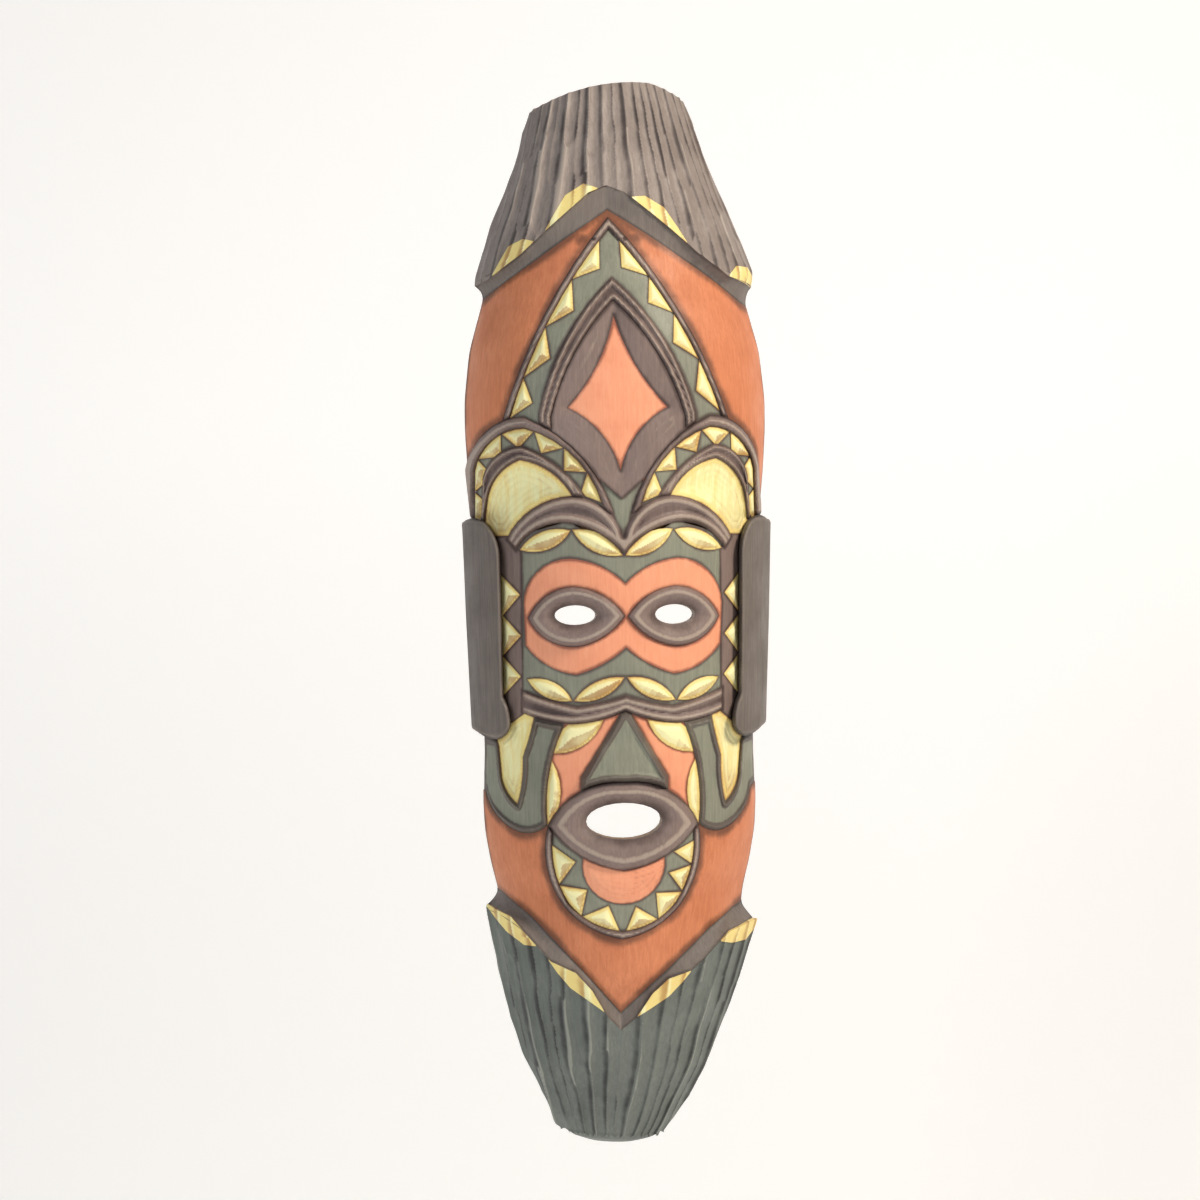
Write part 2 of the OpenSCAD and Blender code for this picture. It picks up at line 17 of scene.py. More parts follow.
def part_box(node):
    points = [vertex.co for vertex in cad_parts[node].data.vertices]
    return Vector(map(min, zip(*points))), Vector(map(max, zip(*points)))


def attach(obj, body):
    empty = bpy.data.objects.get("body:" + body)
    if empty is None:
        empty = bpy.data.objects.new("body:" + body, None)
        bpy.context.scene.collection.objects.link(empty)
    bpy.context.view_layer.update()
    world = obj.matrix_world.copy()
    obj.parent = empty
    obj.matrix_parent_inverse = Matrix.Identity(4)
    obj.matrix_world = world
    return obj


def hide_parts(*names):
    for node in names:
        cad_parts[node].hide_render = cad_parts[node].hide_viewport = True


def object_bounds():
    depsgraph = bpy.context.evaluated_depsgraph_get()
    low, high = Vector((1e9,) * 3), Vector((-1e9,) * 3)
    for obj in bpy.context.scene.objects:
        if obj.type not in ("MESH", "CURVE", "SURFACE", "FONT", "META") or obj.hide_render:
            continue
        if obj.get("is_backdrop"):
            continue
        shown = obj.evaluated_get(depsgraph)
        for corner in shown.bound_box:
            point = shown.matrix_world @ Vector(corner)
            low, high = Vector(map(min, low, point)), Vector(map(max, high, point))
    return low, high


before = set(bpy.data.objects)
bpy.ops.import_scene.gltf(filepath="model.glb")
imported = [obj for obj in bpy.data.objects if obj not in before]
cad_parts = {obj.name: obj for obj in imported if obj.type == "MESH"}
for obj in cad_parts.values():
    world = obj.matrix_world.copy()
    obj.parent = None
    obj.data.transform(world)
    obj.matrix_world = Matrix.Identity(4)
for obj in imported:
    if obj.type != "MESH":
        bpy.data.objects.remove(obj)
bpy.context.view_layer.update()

log = logging.getLogger("mask")
MM = 0.001
AXIS_BACK = 20 * MM
ROLL = 83 * MM
SEED = 12
SHARP = math.radians(38)
CROWN_TILT, CROWN_PIVOT = math.radians(-1.3), -66 * MM
BEARD_TILT, BEARD_PIVOT = math.radians(3.4), -446 * MM


# --- The log and the areas carved on it ----------------------------------------------------


class Level(Enum):
    """The turned bodies that areas lie on."""

    HEAD = "head"
    CROWN = "crown"
    BEARD = "beard"


def outer_faces(name: str) -> tuple[np.ndarray, np.ndarray]:
    """Finds the front faces of a solid, those that look away from the log's axis.

    Args:
        name: The solid's name.

    Returns:
        Its welded points and the corner numbers of its front triangles.
    """
    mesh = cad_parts[name].data
    mesh.calc_loop_triangles()
    points = np.array([v.co[:] for v in mesh.vertices])
    tris = np.array([t.vertices[:] for t in mesh.loop_triangles])
    welded, place = np.unique(np.round(points, 6), axis=0, return_inverse=True)
    tris = place.reshape(-1)[tris]
    a, b, c = (welded[tris[:, i]] for i in range(3))
    normal = np.cross(b - a, c - a)
    length = np.linalg.norm(normal, axis=1)
    normal /= np.maximum(length, 1e-15)[:, None]
    middle = (a + b + c) / 3 - (0, AXIS_BACK, 0)
    middle[:, 2] = 0
    middle /= np.linalg.norm(middle, axis=1)[:, None]
    front = (length > 1e-12) & ((normal * middle).sum(1) > 0.3) & (normal[:, 1] < -0.02)
    return welded, tris[front]


@dataclass
class Turning:
    """A round body turned about the log's axis, its radius read from the solids' own points."""

    heights: np.ndarray
    radii: np.ndarray
    tilt: float = 0.0
    pivot: float = 0.0

    @classmethod
    def of(cls, areas: dict[str, float], tilt: float = 0.0, pivot: float = 0.0) -> "Turning":
        """Reads the radius at each height from areas of known relief.

        Args:
            areas: The relief of each solid over the body.
            tilt: The angle by which the body's axis tilts to the left or right.
            pivot: The height that it tilts about.

        Returns:
            The body, with its kinks rounded as a carver's knife leaves them.
        """
        z, r = [], []
        for name, relief in areas.items():
            points, tris = outer_faces(name)
            used = tilted(points[np.unique(tris)], -tilt, pivot)
            z.append(used[:, 2])
            r.append(np.hypot(used[:, 0], used[:, 1] - AXIS_BACK) - relief)
        z, r = np.concatenate(z), np.concatenate(r)
        top = np.array([r[np.abs(z - at) < 1.5 * MM].max() for at in z])
        z, r = z[r > top - 0.9 * MM], r[r > top - 0.9 * MM]
        order = np.argsort(z)
        even = np.arange(z.min(), z.max(), MM)
        raw = np.interp(even, z[order], r[order])
        reach = 12
        weights = np.exp(-0.5 * (np.arange(-reach, reach + 1) / 3.5) ** 2)
        slope = (raw[1] - raw[0], raw[-1] - raw[-2])
        before = raw[0] - slope[0] * np.arange(reach, 0, -1)
        after = raw[-1] + slope[1] * np.arange(1, reach + 1)
        smooth = np.convolve(np.concatenate([before, raw, after]), weights / weights.sum(), "valid")
        return cls(even, smooth, tilt, pivot)

    def radius(self, z: np.ndarray) -> np.ndarray:
        """Gives the radius at some heights."""
        return np.interp(z, self.heights, self.radii)

    def back_angle(self, radius: np.ndarray) -> np.ndarray:
        """Gives the angle at which a radius meets the flat back."""
        return np.arccos(np.clip(AXIS_BACK / radius, -1, 1))


def tilted(points: np.ndarray, angle: float, pivot: float) -> np.ndarray:
    """Turns points about a line that runs back through the log at some height."""
    c, s = math.cos(angle), math.sin(angle)
    x, z = points[:, 0], points[:, 2] - pivot
    return np.stack([x * c + z * s, points[:, 1], z * c - x * s + pivot], axis=1)


@dataclass
class Patch:
    """An area rolled out flat: u runs round the log and v up it."""

    uv: np.ndarray
    tris: np.ndarray
    outlines: list[np.ndarray]
    turning: Turning
    level: float = 0.0

    def away(self, outlines: list[np.ndarray] | None = None) -> np.ndarray:
        """Measures how far each point lies from the area's edge, or from other outlines."""
        return distance(self.uv, self.outlines if outlines is None else outlines)

    def angle(self) -> np.ndarray:
        """Gives each point's angle round the log."""
        return self.uv[:, 0] / ROLL


def segments(outlines: list[np.ndarray]) -> tuple[np.ndarray, np.ndarray]:
    """Gives the start and end of every straight bit of some outlines."""
    return (np.concatenate(outlines), np.concatenate([np.roll(o, -1, axis=0) for o in outlines]))


def distance(points: np.ndarray, outlines: list[np.ndarray]) -> np.ndarray:
    """Measures how far each point lies from the nearest outline."""
    return from_lines(points, *segments(outlines))


def from_lines(points: np.ndarray, a: np.ndarray, b: np.ndarray) -> np.ndarray:
    """Measures how far each point lies from the nearest of some straight lines."""
    d = b - a
    span = np.maximum((d * d).sum(1), 1e-18)
    out = np.empty(len(points))
    for i in range(0, len(points), 2000):
        p = points[i : i + 2000, None, :] - a[None]
        t = np.clip((p * d).sum(2) / span, 0, 1)
        out[i : i + 2000] = np.sqrt(((p - t[..., None] * d) ** 2).sum(2).min(1))
    return out


def long_sides(outlines: list[np.ndarray], shortest: float) -> tuple[np.ndarray, np.ndarray]:
    """Leaves out the short ends of bands, so that lines along them run out at their ends.

    Args:
        outlines: The rings round the bands.
        shortest: The length from which a stretch between two corners counts as a side.

    Returns:
        The start and end of every straight bit of the sides.
    """
    starts, ends = [], []
    for ring in outlines:
        ahead = np.roll(ring, -1, axis=0) - ring
        way = ahead / np.maximum(np.linalg.norm(ahead, axis=1), 1e-12)[:, None]
        turn = np.arccos(np.clip((way * np.roll(way, 1, axis=0)).sum(1), -1, 1))
        corners = np.flatnonzero(turn > SHARP)
        if len(corners) < 3:
            corners = np.array([0])
        for i, first in enumerate(corners):
            count = (corners[(i + 1) % len(corners)] - first - 1) % len(ring) + 1
            picked = (first + np.arange(count)) % len(ring)
            if len(corners) == 1 or np.linalg.norm(ahead[picked], axis=1).sum() > shortest:
                starts.append(ring[picked])
                ends.append(ring[picked] + ahead[picked])
    return np.concatenate(starts), np.concatenate(ends)


def inside(points: np.ndarray, outlines: list[np.ndarray]) -> np.ndarray:
    """Tells which points lie inside some outlines, holes left out."""
    a, b = segments(outlines)
    out = np.zeros(len(points), bool)
    for i in range(0, len(points), 2000):
        x, y = points[i : i + 2000, 0, None], points[i : i + 2000, 1, None]
        crosses = (a[:, 1] > y) != (b[:, 1] > y)
        rise = np.where(b[:, 1] == a[:, 1], 1, b[:, 1] - a[:, 1])
        at = a[:, 0] + (y - a[:, 1]) / rise * (b[:, 0] - a[:, 0])
        out[i : i + 2000] = (crosses & (x < at)).sum(1) % 2 == 1
    return out


def chained(tris: np.ndarray) -> list[list[int]]:
    """Joins the free edges of some triangles into closed rings of corner numbers."""
    edges = np.concatenate([tris[:, [0, 1]], tris[:, [1, 2]], tris[:, [2, 0]]])
    there = {tuple(e) for e in edges.tolist()}
    after: dict[int, list[int]] = {}
    for a, b in there:
        if (b, a) not in there:
            after.setdefault(a, []).append(b)
    rings = []
    while after:
        start = next(iter(after))
        ring, at = [], start
        while at in after:
            ring.append(at)
            nexts = after[at]
            step = nexts.pop()
            if not nexts:
                del after[at]
            at = step
            if at == start:
                break
        if len(ring) > 2:
            rings.append(ring)
    return rings


def smoothed(ring: np.ndarray, step: float, corner: float = math.radians(24)) -> np.ndarray:
    """Runs a smooth line through a ring of points, keeping its sharp corners.

    Args:
        ring: The corners in order.
        step: The longest stretch between the new points.
        corner: The turn from which a corner stays sharp.

    Returns:
        The points of the smooth ring.
    """
    keep = np.linalg.norm(ring - np.roll(ring, 1, axis=0), axis=1) > 0.05 * MM
    ring = ring[keep]
    if len(ring) < 3:
        return ring
    ahead = np.roll(ring, -1, axis=0) - ring
    length = np.linalg.norm(ahead, axis=1)
    way = ahead / length[:, None]
    before, size = np.roll(way, 1, axis=0), np.roll(length, 1)
    turn = np.arccos(np.clip((way * before).sum(1), -1, 1))
    mean = way * size[:, None] + before * length[:, None]
    mean /= np.maximum(np.linalg.norm(mean, axis=1), 1e-12)[:, None]
    sharp = (turn > corner)[:, None]
    leave, arrive = np.where(sharp, way, mean), np.where(sharp, before, mean)
    out = []
    for i in range(len(ring)):
        j = (i + 1) % len(ring)
        n = max(1, math.ceil(length[i] / step))
        t = (np.arange(n) / n)[:, None]
        out.append(
            (2 * t**3 - 3 * t**2 + 1) * ring[i]
            + (t**3 - 2 * t**2 + t) * leave[i] * length[i]
            + (3 * t**2 - 2 * t**3) * ring[j]
            + (t**3 - t**2) * arrive[j] * length[i]
        )
    return np.concatenate(out)


def rolled_out(
    name: str, turning: Turning, step: float, level: float = 0.0, relief: float | None = None,
) -> Patch:
    """Rolls out a solid's front and meshes it finely.

    Args:
        name: The solid whose front is taken.
        turning: The body it lies on.
        step: The spacing of the mesh.
        level: The height over the body at which its edge is measured.
        relief: Where given, only faces at about this height over the body count.

    Returns:
        The meshed area.
    """
    points, tris = outer_faces(name)
    points = tilted(points, -turning.tilt, turning.pivot)
    out = np.hypot(points[:, 0], points[:, 1] - AXIS_BACK) - turning.radius(points[:, 2])
    if relief is not None:
        tris = tris[np.abs(out[tris].mean(1) - relief) < 1.2 * MM]
    radius = turning.radius(points[:, 2]) + level
    at_back = turning.back_angle(radius) * np.sign(points[:, 0])
    sideways = np.arcsin(np.clip(points[:, 0] / radius, -1, 1))
    angle = np.where(points[:, 1] > -1e-6, at_back, np.clip(sideways, -abs(at_back), abs(at_back)))
    flat = np.stack([angle * ROLL, points[:, 2]], axis=1)
    outlines = [smoothed(flat[ring], step) for ring in chained(tris)]
    outlines = [o for o in outlines if len(o) > 3]
    everything = np.concatenate(outlines)
    lo, hi = everything.min(0), everything.max(0)
    across, up = np.arange(lo[0], hi[0], step), np.arange(lo[1], hi[1], step * 0.866)
    grid = np.stack(np.meshgrid(across, up), axis=-1)
    grid[1::2, :, 0] += step / 2
    grid = grid.reshape(-1, 2)
    grid = grid[inside(grid, outlines)]
    grid = grid[distance(grid, outlines) > 0.55 * step]
    edges, count = [], 0
    for o in outlines:
        edges += [(count + i, count + (i + 1) % len(o)) for i in range(len(o))]
        count += len(o)
    corners = [Vector(p) for p in everything] + [Vector(p) for p in grid]
    made = geometry.delaunay_2d_cdt(corners, edges, [], 0, 1e-7)
    uv = np.array([p[:] for p in made[0]])
    faces = np.array(made[2])
    faces = faces[inside(uv[faces].mean(1), outlines)]
    used, faces = np.unique(faces, return_inverse=True)
    return Patch(uv[used], faces.reshape(-1, 3), outlines, turning, level)


# --- Ways of carving -----------------------------------------------------------------------


def grown(x: np.ndarray, start: float, stop: float) -> np.ndarray:
    """Eases from 0 to 1 between two values."""
    t = np.clip((x - start) / (stop - start), 0, 1)
    return t * t * (3 - 2 * t)


def waver(patch: Patch, size: float, seed: float = 0.0, stretch: float = 1.0) -> np.ndarray:
    """Gives each point a slow random value between about -1 and 1.

    Args:
        patch: The area.
        size: The width of the waves.
        seed: A value that picks another set of waves.
        stretch: How many times longer the waves are up the log.

    Returns:
        One value for each point.
    """
    return np.array([noise.noise((u / size, v / size / stretch, seed)) for u, v in patch.uv])


@dataclass(frozen=True)
class Carving:
    """How one area is carved: its height over the body and the way its top is cut."""

    top_mm: float = 0.0
    width_mm: float = 3.0
    uneven_mm: float = 0.12
    dip_mm: float = 0.25
    # How far in from the edge the dark stain and painted shade reach
    stain_and_shade_mm: float = 2.4

    def heights(self, patch: Patch, away: np.ndarray) -> np.ndarray:
        """Gives the height of each point over the body; a flat ground here."""
        dip = self.dip_mm * (1 - grown(away, 0, 2.0 * MM))
        return (self.top_mm + self.uneven_mm * waver(patch, 5 * MM, 3.0, 2.5) - dip) * MM

    def edge(self, patch: Patch, away: np.ndarray) -> np.ndarray:
        """Gives the share of dark stain and painted shade at each point, the most along the edge."""
        return 1 - grown(away, 0, self.stain_and_shade_mm * MM)

    def crest(self, patch: Patch, away: np.ndarray) -> np.ndarray:
        """Gives the share of worn, pale paint at each point."""
        return np.zeros(len(away))


@dataclass(frozen=True)
class Ridge(Carving):
    """A rounded ridge that falls to the ground at both sides."""

    top_mm: float = 2.6
    sharp: float = 0.55

    def reach(self, away: np.ndarray) -> float:
        """Gives half the usual width of the area, in metres."""
        return min(self.width_mm * MM, float(np.percentile(away, 93)))

    def heights(self, patch: Patch, away: np.ndarray) -> np.ndarray:
        """Gives the height of each point over the body."""
        t = np.clip(away / self.reach(away), 0, 1)
        bump = np.sin(t * math.pi / 2) ** self.sharp
        return (self.top_mm * bump + self.uneven_mm * waver(patch, 6 * MM, 1.0)) * MM

    def crest(self, patch: Patch, away: np.ndarray) -> np.ndarray:
        """Gives the share of worn, pale paint at each point."""
        return grown(away / self.reach(away), 0.72, 0.98)


@dataclass(frozen=True)
class DoubleRidge(Ridge):
    """Two sharp ridges side by side with a groove between them."""

    def heights(self, patch: Patch, away: np.ndarray) -> np.ndarray:
        """Gives the height of each point over the body."""
        across = self.across(patch)
        t = np.clip(across / self.reach(across), 0, 1)
        wave = np.abs(np.sin(t * math.pi))
        bump = np.where(t < 0.5, wave**0.8, 0.3 + 0.7 * wave**1.3)
        ends = grown(away, 0, 2.0 * MM)
        return (self.top_mm * bump * ends + self.uneven_mm * waver(patch, 6 * MM, 1.0)) * MM

    def across(self, patch: Patch) -> np.ndarray:
        """Measures how far each point lies from the band's long sides."""
        return from_lines(patch.uv, *long_sides(patch.outlines, 2.4 * self.width_mm * MM))

    def crest(self, patch: Patch, away: np.ndarray) -> np.ndarray:
        """Gives the share of worn, pale paint at each point."""
        across = self.across(patch)
        t = across / self.reach(across)
        return (1 - grown(np.abs(t - 0.5), 0.02, 0.42)) * grown(away, 0, 2.5 * MM)

    def edge(self, patch: Patch, away: np.ndarray) -> np.ndarray:
        """Gives the share of dark stain and painted shade along the edge, and of painted shade in the middle
        groove.
        """
        across = self.across(patch)
        # Painted shade in the groove between the two ridges
        groove = grown(across / self.reach(across), 0.78, 1.0) * 0.75
        return np.maximum(super().edge(patch, away), groove)


@dataclass(frozen=True)
class Faceted(Carving):
    """Teeth and leaves whose flat facets rise to a crease along the middle."""

    top_mm: float = 0.2
    slope: float = 0.36
    most_mm: float = 1.7
    # Painted shade: the way that the shaded facets look, and how dark they get
    shaded: tuple[float, float] = (0.55, -0.83)
    shade: float = 0.75

    def heights(self, patch: Patch, away: np.ndarray) -> np.ndarray:
        """Gives the height of each point over the body."""
        rise = np.minimum(away * self.slope, self.most_mm * MM)
        return rise + (self.top_mm + 0.08 * waver(patch, 3 * MM, 5.0)) * MM

    def edge(self, patch: Patch, away: np.ndarray) -> np.ndarray:
        """Gives the share of dark colour: a thin line of stain and painted shade round the edge, and painted
        shade on the facets that look down.
        """
        line = 0.9 * (1 - grown(away, 0, 0.9 * MM))
        step = 0.3 * MM
        lower = distance(patch.uv + np.array(self.shaded) * step, patch.outlines)
        # Painted shade on the facets that slope towards the shaded side
        shaded_facets = grown((away - lower) / step, 0.15, 0.95)
        return np.maximum(line, shaded_facets * grown(away, 0.3 * MM, 1.4 * MM) * self.shade)

    def crest(self, patch: Patch, away: np.ndarray) -> np.ndarray:
        """Gives the share of clean paint at each point, the most in the middle."""
        return grown(away, 0.3 * MM, 3.0 * MM)


@dataclass(frozen=True)
class Scooped(Carving):
    """A hollow scooped out in long strokes."""

    depth_mm: float = 2.5
    stroke_mm: float = 3.4

    def heights(self, patch: Patch, away: np.ndarray) -> np.ndarray:
        """Gives the height of each point over the body."""
        t = np.clip(away / max(away.max(), 1e-6), 0, 1)
        strokes = np.abs(np.sin(away / MM / self.stroke_mm * math.pi))
        return (self.top_mm - self.depth_mm * np.sin(t * math.pi / 2) ** 0.8 + 0.42 * strokes) * MM

    def edge(self, patch: Patch, away: np.ndarray) -> np.ndarray:
        """Gives the share of dark colour: a thin line of stain and painted shade round the edge, painted
        shade in the grooves between the strokes, and painted shade at the foot of the hollow.
        """
        v = patch.uv[:, 1]
        # Painted shade at the foot of the hollow, darker towards the bottom
        foot = 1 - grown((v - v.min()) / np.ptp(v), 0.0, 0.55)
        # Painted shade in the grooves between the strokes
        strokes = np.abs(np.cos(away / MM / self.stroke_mm * math.pi)) ** 5
        strokes = strokes * (1 - grown(away, 7 * MM, 12 * MM))
        marks = 0.34 * foot + 0.42 * strokes * (0.6 + 0.4 * waver(patch, 9 * MM, 21.0))
        return np.maximum(0.95 * (1 - grown(away, 0, 1.0 * MM)), marks)

    def crest(self, patch: Patch, away: np.ndarray) -> np.ndarray:
        """Gives the share of clean paint at each point."""
        return grown(away, 0.5 * MM, 3.5 * MM) * (0.75 + 0.25 * waver(patch, 4 * MM, 8.0, 4.0))


@dataclass(frozen=True)
class Domed(Carving):
    """A low dome with rings cut into it."""

    rise_mm: float = 1.5
    ring_mm: float = 2.9

    def heights(self, patch: Patch, away: np.ndarray) -> np.ndarray:
        """Gives the height of each point over the body."""
        t = np.clip(away / max(away.max(), 1e-6), 0, 1)
        rings = 0.22 * np.sin(away / MM / self.ring_mm * 2 * math.pi)
        return (self.top_mm + self.rise_mm * np.sin(t * math.pi / 2) ** 0.8 + rings) * MM

    def edge(self, patch: Patch, away: np.ndarray) -> np.ndarray:
        """Gives the share of dark stain and painted shade along the edge, and of dark stain in the grooves of
        the rings.
        """
        rings = np.clip(-np.sin(away / MM / self.ring_mm * 2 * math.pi), 0, 1) ** 3
        return np.maximum(1 - grown(away, 0, 1.6 * MM), 0.3 * rings)


@dataclass(frozen=True)
class Slab(Carving):
    """A thick board with rounded edges."""

    round_mm: float = 4.0

    def heights(self, patch: Patch, away: np.ndarray) -> np.ndarray:
        """Gives the height of each point over the body."""
        t = np.clip(away / (self.round_mm * MM), 0, 1)
        edge = self.round_mm * (1 - np.sqrt(np.maximum(1 - (1 - t) ** 2, 0)))
        return (self.top_mm - edge + self.uneven_mm * waver(patch, 9 * MM, 2.0, 4.0)) * MM

    def crest(self, patch: Patch, away: np.ndarray) -> np.ndarray:
        """Gives the share of worn, pale paint at each point."""
        t = away / (self.round_mm * MM)
        return (1 - grown(np.abs(t - 0.55), 0.05, 0.5)) * 0.6


@dataclass(frozen=True)
class Lip(Carving):
    """A rim round a hole, with a crest and a bevel down into the hole."""

    top_mm: float = 3.4
    crest_mm: float = 3.4
    inner_mm: float = -1.4

    def across(self, patch: Patch) -> tuple[np.ndarray, np.ndarray]:
        """Gives how far up each point lies on the bevel and on the outer bank, from 0 to 1."""
        sized = sorted(patch.outlines, key=lambda o: -float(np.ptp(o[:, 0])))
        outer, hole = patch.away(sized[:1]), patch.away(sized[1:])
        crest = self.crest_mm * MM
        bevel = hole / np.maximum(hole + np.maximum(outer - crest, 0), 1e-9)
        return bevel, np.clip(outer / crest, 0, 1)

    def heights(self, patch: Patch, away: np.ndarray) -> np.ndarray:
        """Gives the height of each point over the body."""
        bevel, bank = self.across(patch)
        inner = self.inner_mm + (self.top_mm - self.inner_mm) * np.sin(bevel * math.pi / 2) ** 1.2
        outer = self.top_mm * np.sin(bank * math.pi / 2) ** 0.7
        return (np.where(bank < 1, outer, inner) + self.uneven_mm * waver(patch, 5 * MM, 4.0)) * MM

    def edge(self, patch: Patch, away: np.ndarray) -> np.ndarray:
        """Gives the share of dark stain and painted shade along the outer edge, and of painted shade on the
        bevel down to the hole.
        """
        bevel, bank = self.across(patch)
        # Painted shade on the bevel that falls into the hole
        return np.maximum(1 - grown(bank, 0, 0.45), 0.7 * (1 - grown(bevel, 0.0, 0.8)))

    def crest(self, patch: Patch, away: np.ndarray) -> np.ndarray:
        """Gives the share of worn, pale paint at each point."""
        bevel, bank = self.across(patch)
        return grown(bank, 0.55, 1.0) * grown(bevel, 0.62, 1.0)


@dataclass(frozen=True)
class Wedge(Carving):
    """The nose: a flat wedge with sloping sides that stands out most at its foot."""

    top_mm: float = 6.6
    start_mm: float = 2.6
    slope: float = 2.4
    stain_and_shade_mm: float = 5.2

    def heights(self, patch: Patch, away: np.ndarray) -> np.ndarray:
        """Gives the height of each point over the body."""
        v, off = patch.uv[:, 1], away / MM
        down = (v.max() - v) / np.ptp(v)
        face = self.start_mm + (self.top_mm - self.start_mm) * down**0.9
        hollow = 1.5 * grown(off, 3.4, 5.4)
        rise = np.minimum(off * self.slope, face) - hollow * grown(down, 0.1, 0.4)
        return (rise + self.uneven_mm * waver(patch, 6 * MM, 6.0)) * MM

    def edge(self, patch: Patch, away: np.ndarray) -> np.ndarray:
        """Gives the share of dark stain and painted shade on the sloping sides and the rolls round the face.
        """
        return 1 - grown(away, (self.stain_and_shade_mm - 1.4) * MM, self.stain_and_shade_mm * MM)

    def crest(self, patch: Patch, away: np.ndarray) -> np.ndarray:
        """Gives the share of worn, pale paint at each point."""
        return 1 - grown(np.abs(away / MM - 3.0), 0.2, 1.2)


@dataclass(frozen=True)
class Framed(Carving):
    """A field with a raised roll along its edge."""

    top_mm: float = 0.6
    roll_mm: float = 1.9
    at_mm: float = 2.2
    stain_and_shade_mm: float = 5.0

    def heights(self, patch: Patch, away: np.ndarray) -> np.ndarray:
        """Gives the height of each point over the body."""
        off = away / MM
        roll = self.roll_mm * np.exp(-(((off - self.at_mm) / 1.35) ** 2))
        rise = self.top_mm * grown(off, 0, 3.0)
        back = patch.turning.back_angle(patch.turning.radius(patch.uv[:, 1]))
        fade = 1 - grown(np.abs(patch.angle()) / back, 0.74, 0.97)
        return ((rise + roll * grown(off, 0, 1.2)) * fade + self.uneven_mm * waver(patch, 6 * MM, 6.0)) * MM

    def edge(self, patch: Patch, away: np.ndarray) -> np.ndarray:
        """Gives the share of dark stain and painted shade at each point, the most along the edge."""
        return 1 - grown(away, (self.stain_and_shade_mm - 1.2) * MM, self.stain_and_shade_mm * MM)

    def crest(self, patch: Patch, away: np.ndarray) -> np.ndarray:
        """Gives the share of worn, pale paint at each point."""
        return 1 - grown(np.abs(away / MM - self.at_mm), 0.2, 1.3)


@dataclass(frozen=True)
class Cove(Carving):
    """A smooth bank that rises from the head to the edge of the crown or the beard."""

    body: Turning | None = None
    rim: tuple[np.ndarray, ...] = ()
    bend: float = 1.35

    def share(self, patch: Patch) -> np.ndarray:
        """Gives how far up the bank each point lies, 0 at the head and 1 at the edge."""
        near = patch.away(list(self.rim))
        border = np.concatenate(patch.outlines)
        inner = distance(border, list(self.rim)) > 3.5 * MM
        back = patch.turning.back_angle(patch.turning.radius(border[:, 1]))
        border = border[inner & (np.abs(border[:, 0]) / ROLL < back - 0.02)]
        far = np.array([np.sqrt(((border - p) ** 2).sum(1).min()) for p in patch.uv])
        return far / np.maximum(far + near, 1e-9)

    def heights(self, patch: Patch, away: np.ndarray) -> np.ndarray:
        """Gives the height of each point over the body."""
        v = patch.uv[:, 1]
        step = np.maximum(self.body.radius(v) - patch.turning.radius(v) + 0.6 * MM, MM)
        rise = self.share(patch) ** self.bend
        return step * rise + self.uneven_mm * waver(patch, 8 * MM, 12.0) * MM

    def crest(self, patch: Patch, away: np.ndarray) -> np.ndarray:
        """Gives the share of worn, pale paint at each point."""
        return grown(self.share(patch), 0.8, 1.0) * 0.8


@dataclass(frozen=True)
class Bevel(Carving):
    """A bank that falls from the ground to a sunk shape inside it."""

    depth_mm: float = 2.5

    def heights(self, patch: Patch, away: np.ndarray) -> np.ndarray:
        """Gives the height of each point over the body."""
        sized = sorted(patch.outlines, key=lambda o: -float(np.ptp(o[:, 0])))
        outer = patch.away(sized[:1])
        hole = patch.away(sized[1:2]) if len(sized) > 1 else outer
        t = outer / np.maximum(outer + hole, 1e-9)
        return (0.9 - (self.depth_mm + 0.9) * t**1.2 + self.uneven_mm * waver(patch, 6 * MM, 7.0)) * MM

    def crest(self, patch: Patch, away: np.ndarray) -> np.ndarray:
        """Gives the share of worn, pale paint: rubbed strokes along the bank."""
        strokes = 0.5 + 0.5 * np.sin(away / MM / 2.6 * math.pi)
        return grown(away, 1.0 * MM, 3.0 * MM) * strokes * (0.45 + 0.3 * waver(patch, 20 * MM, 5.0))


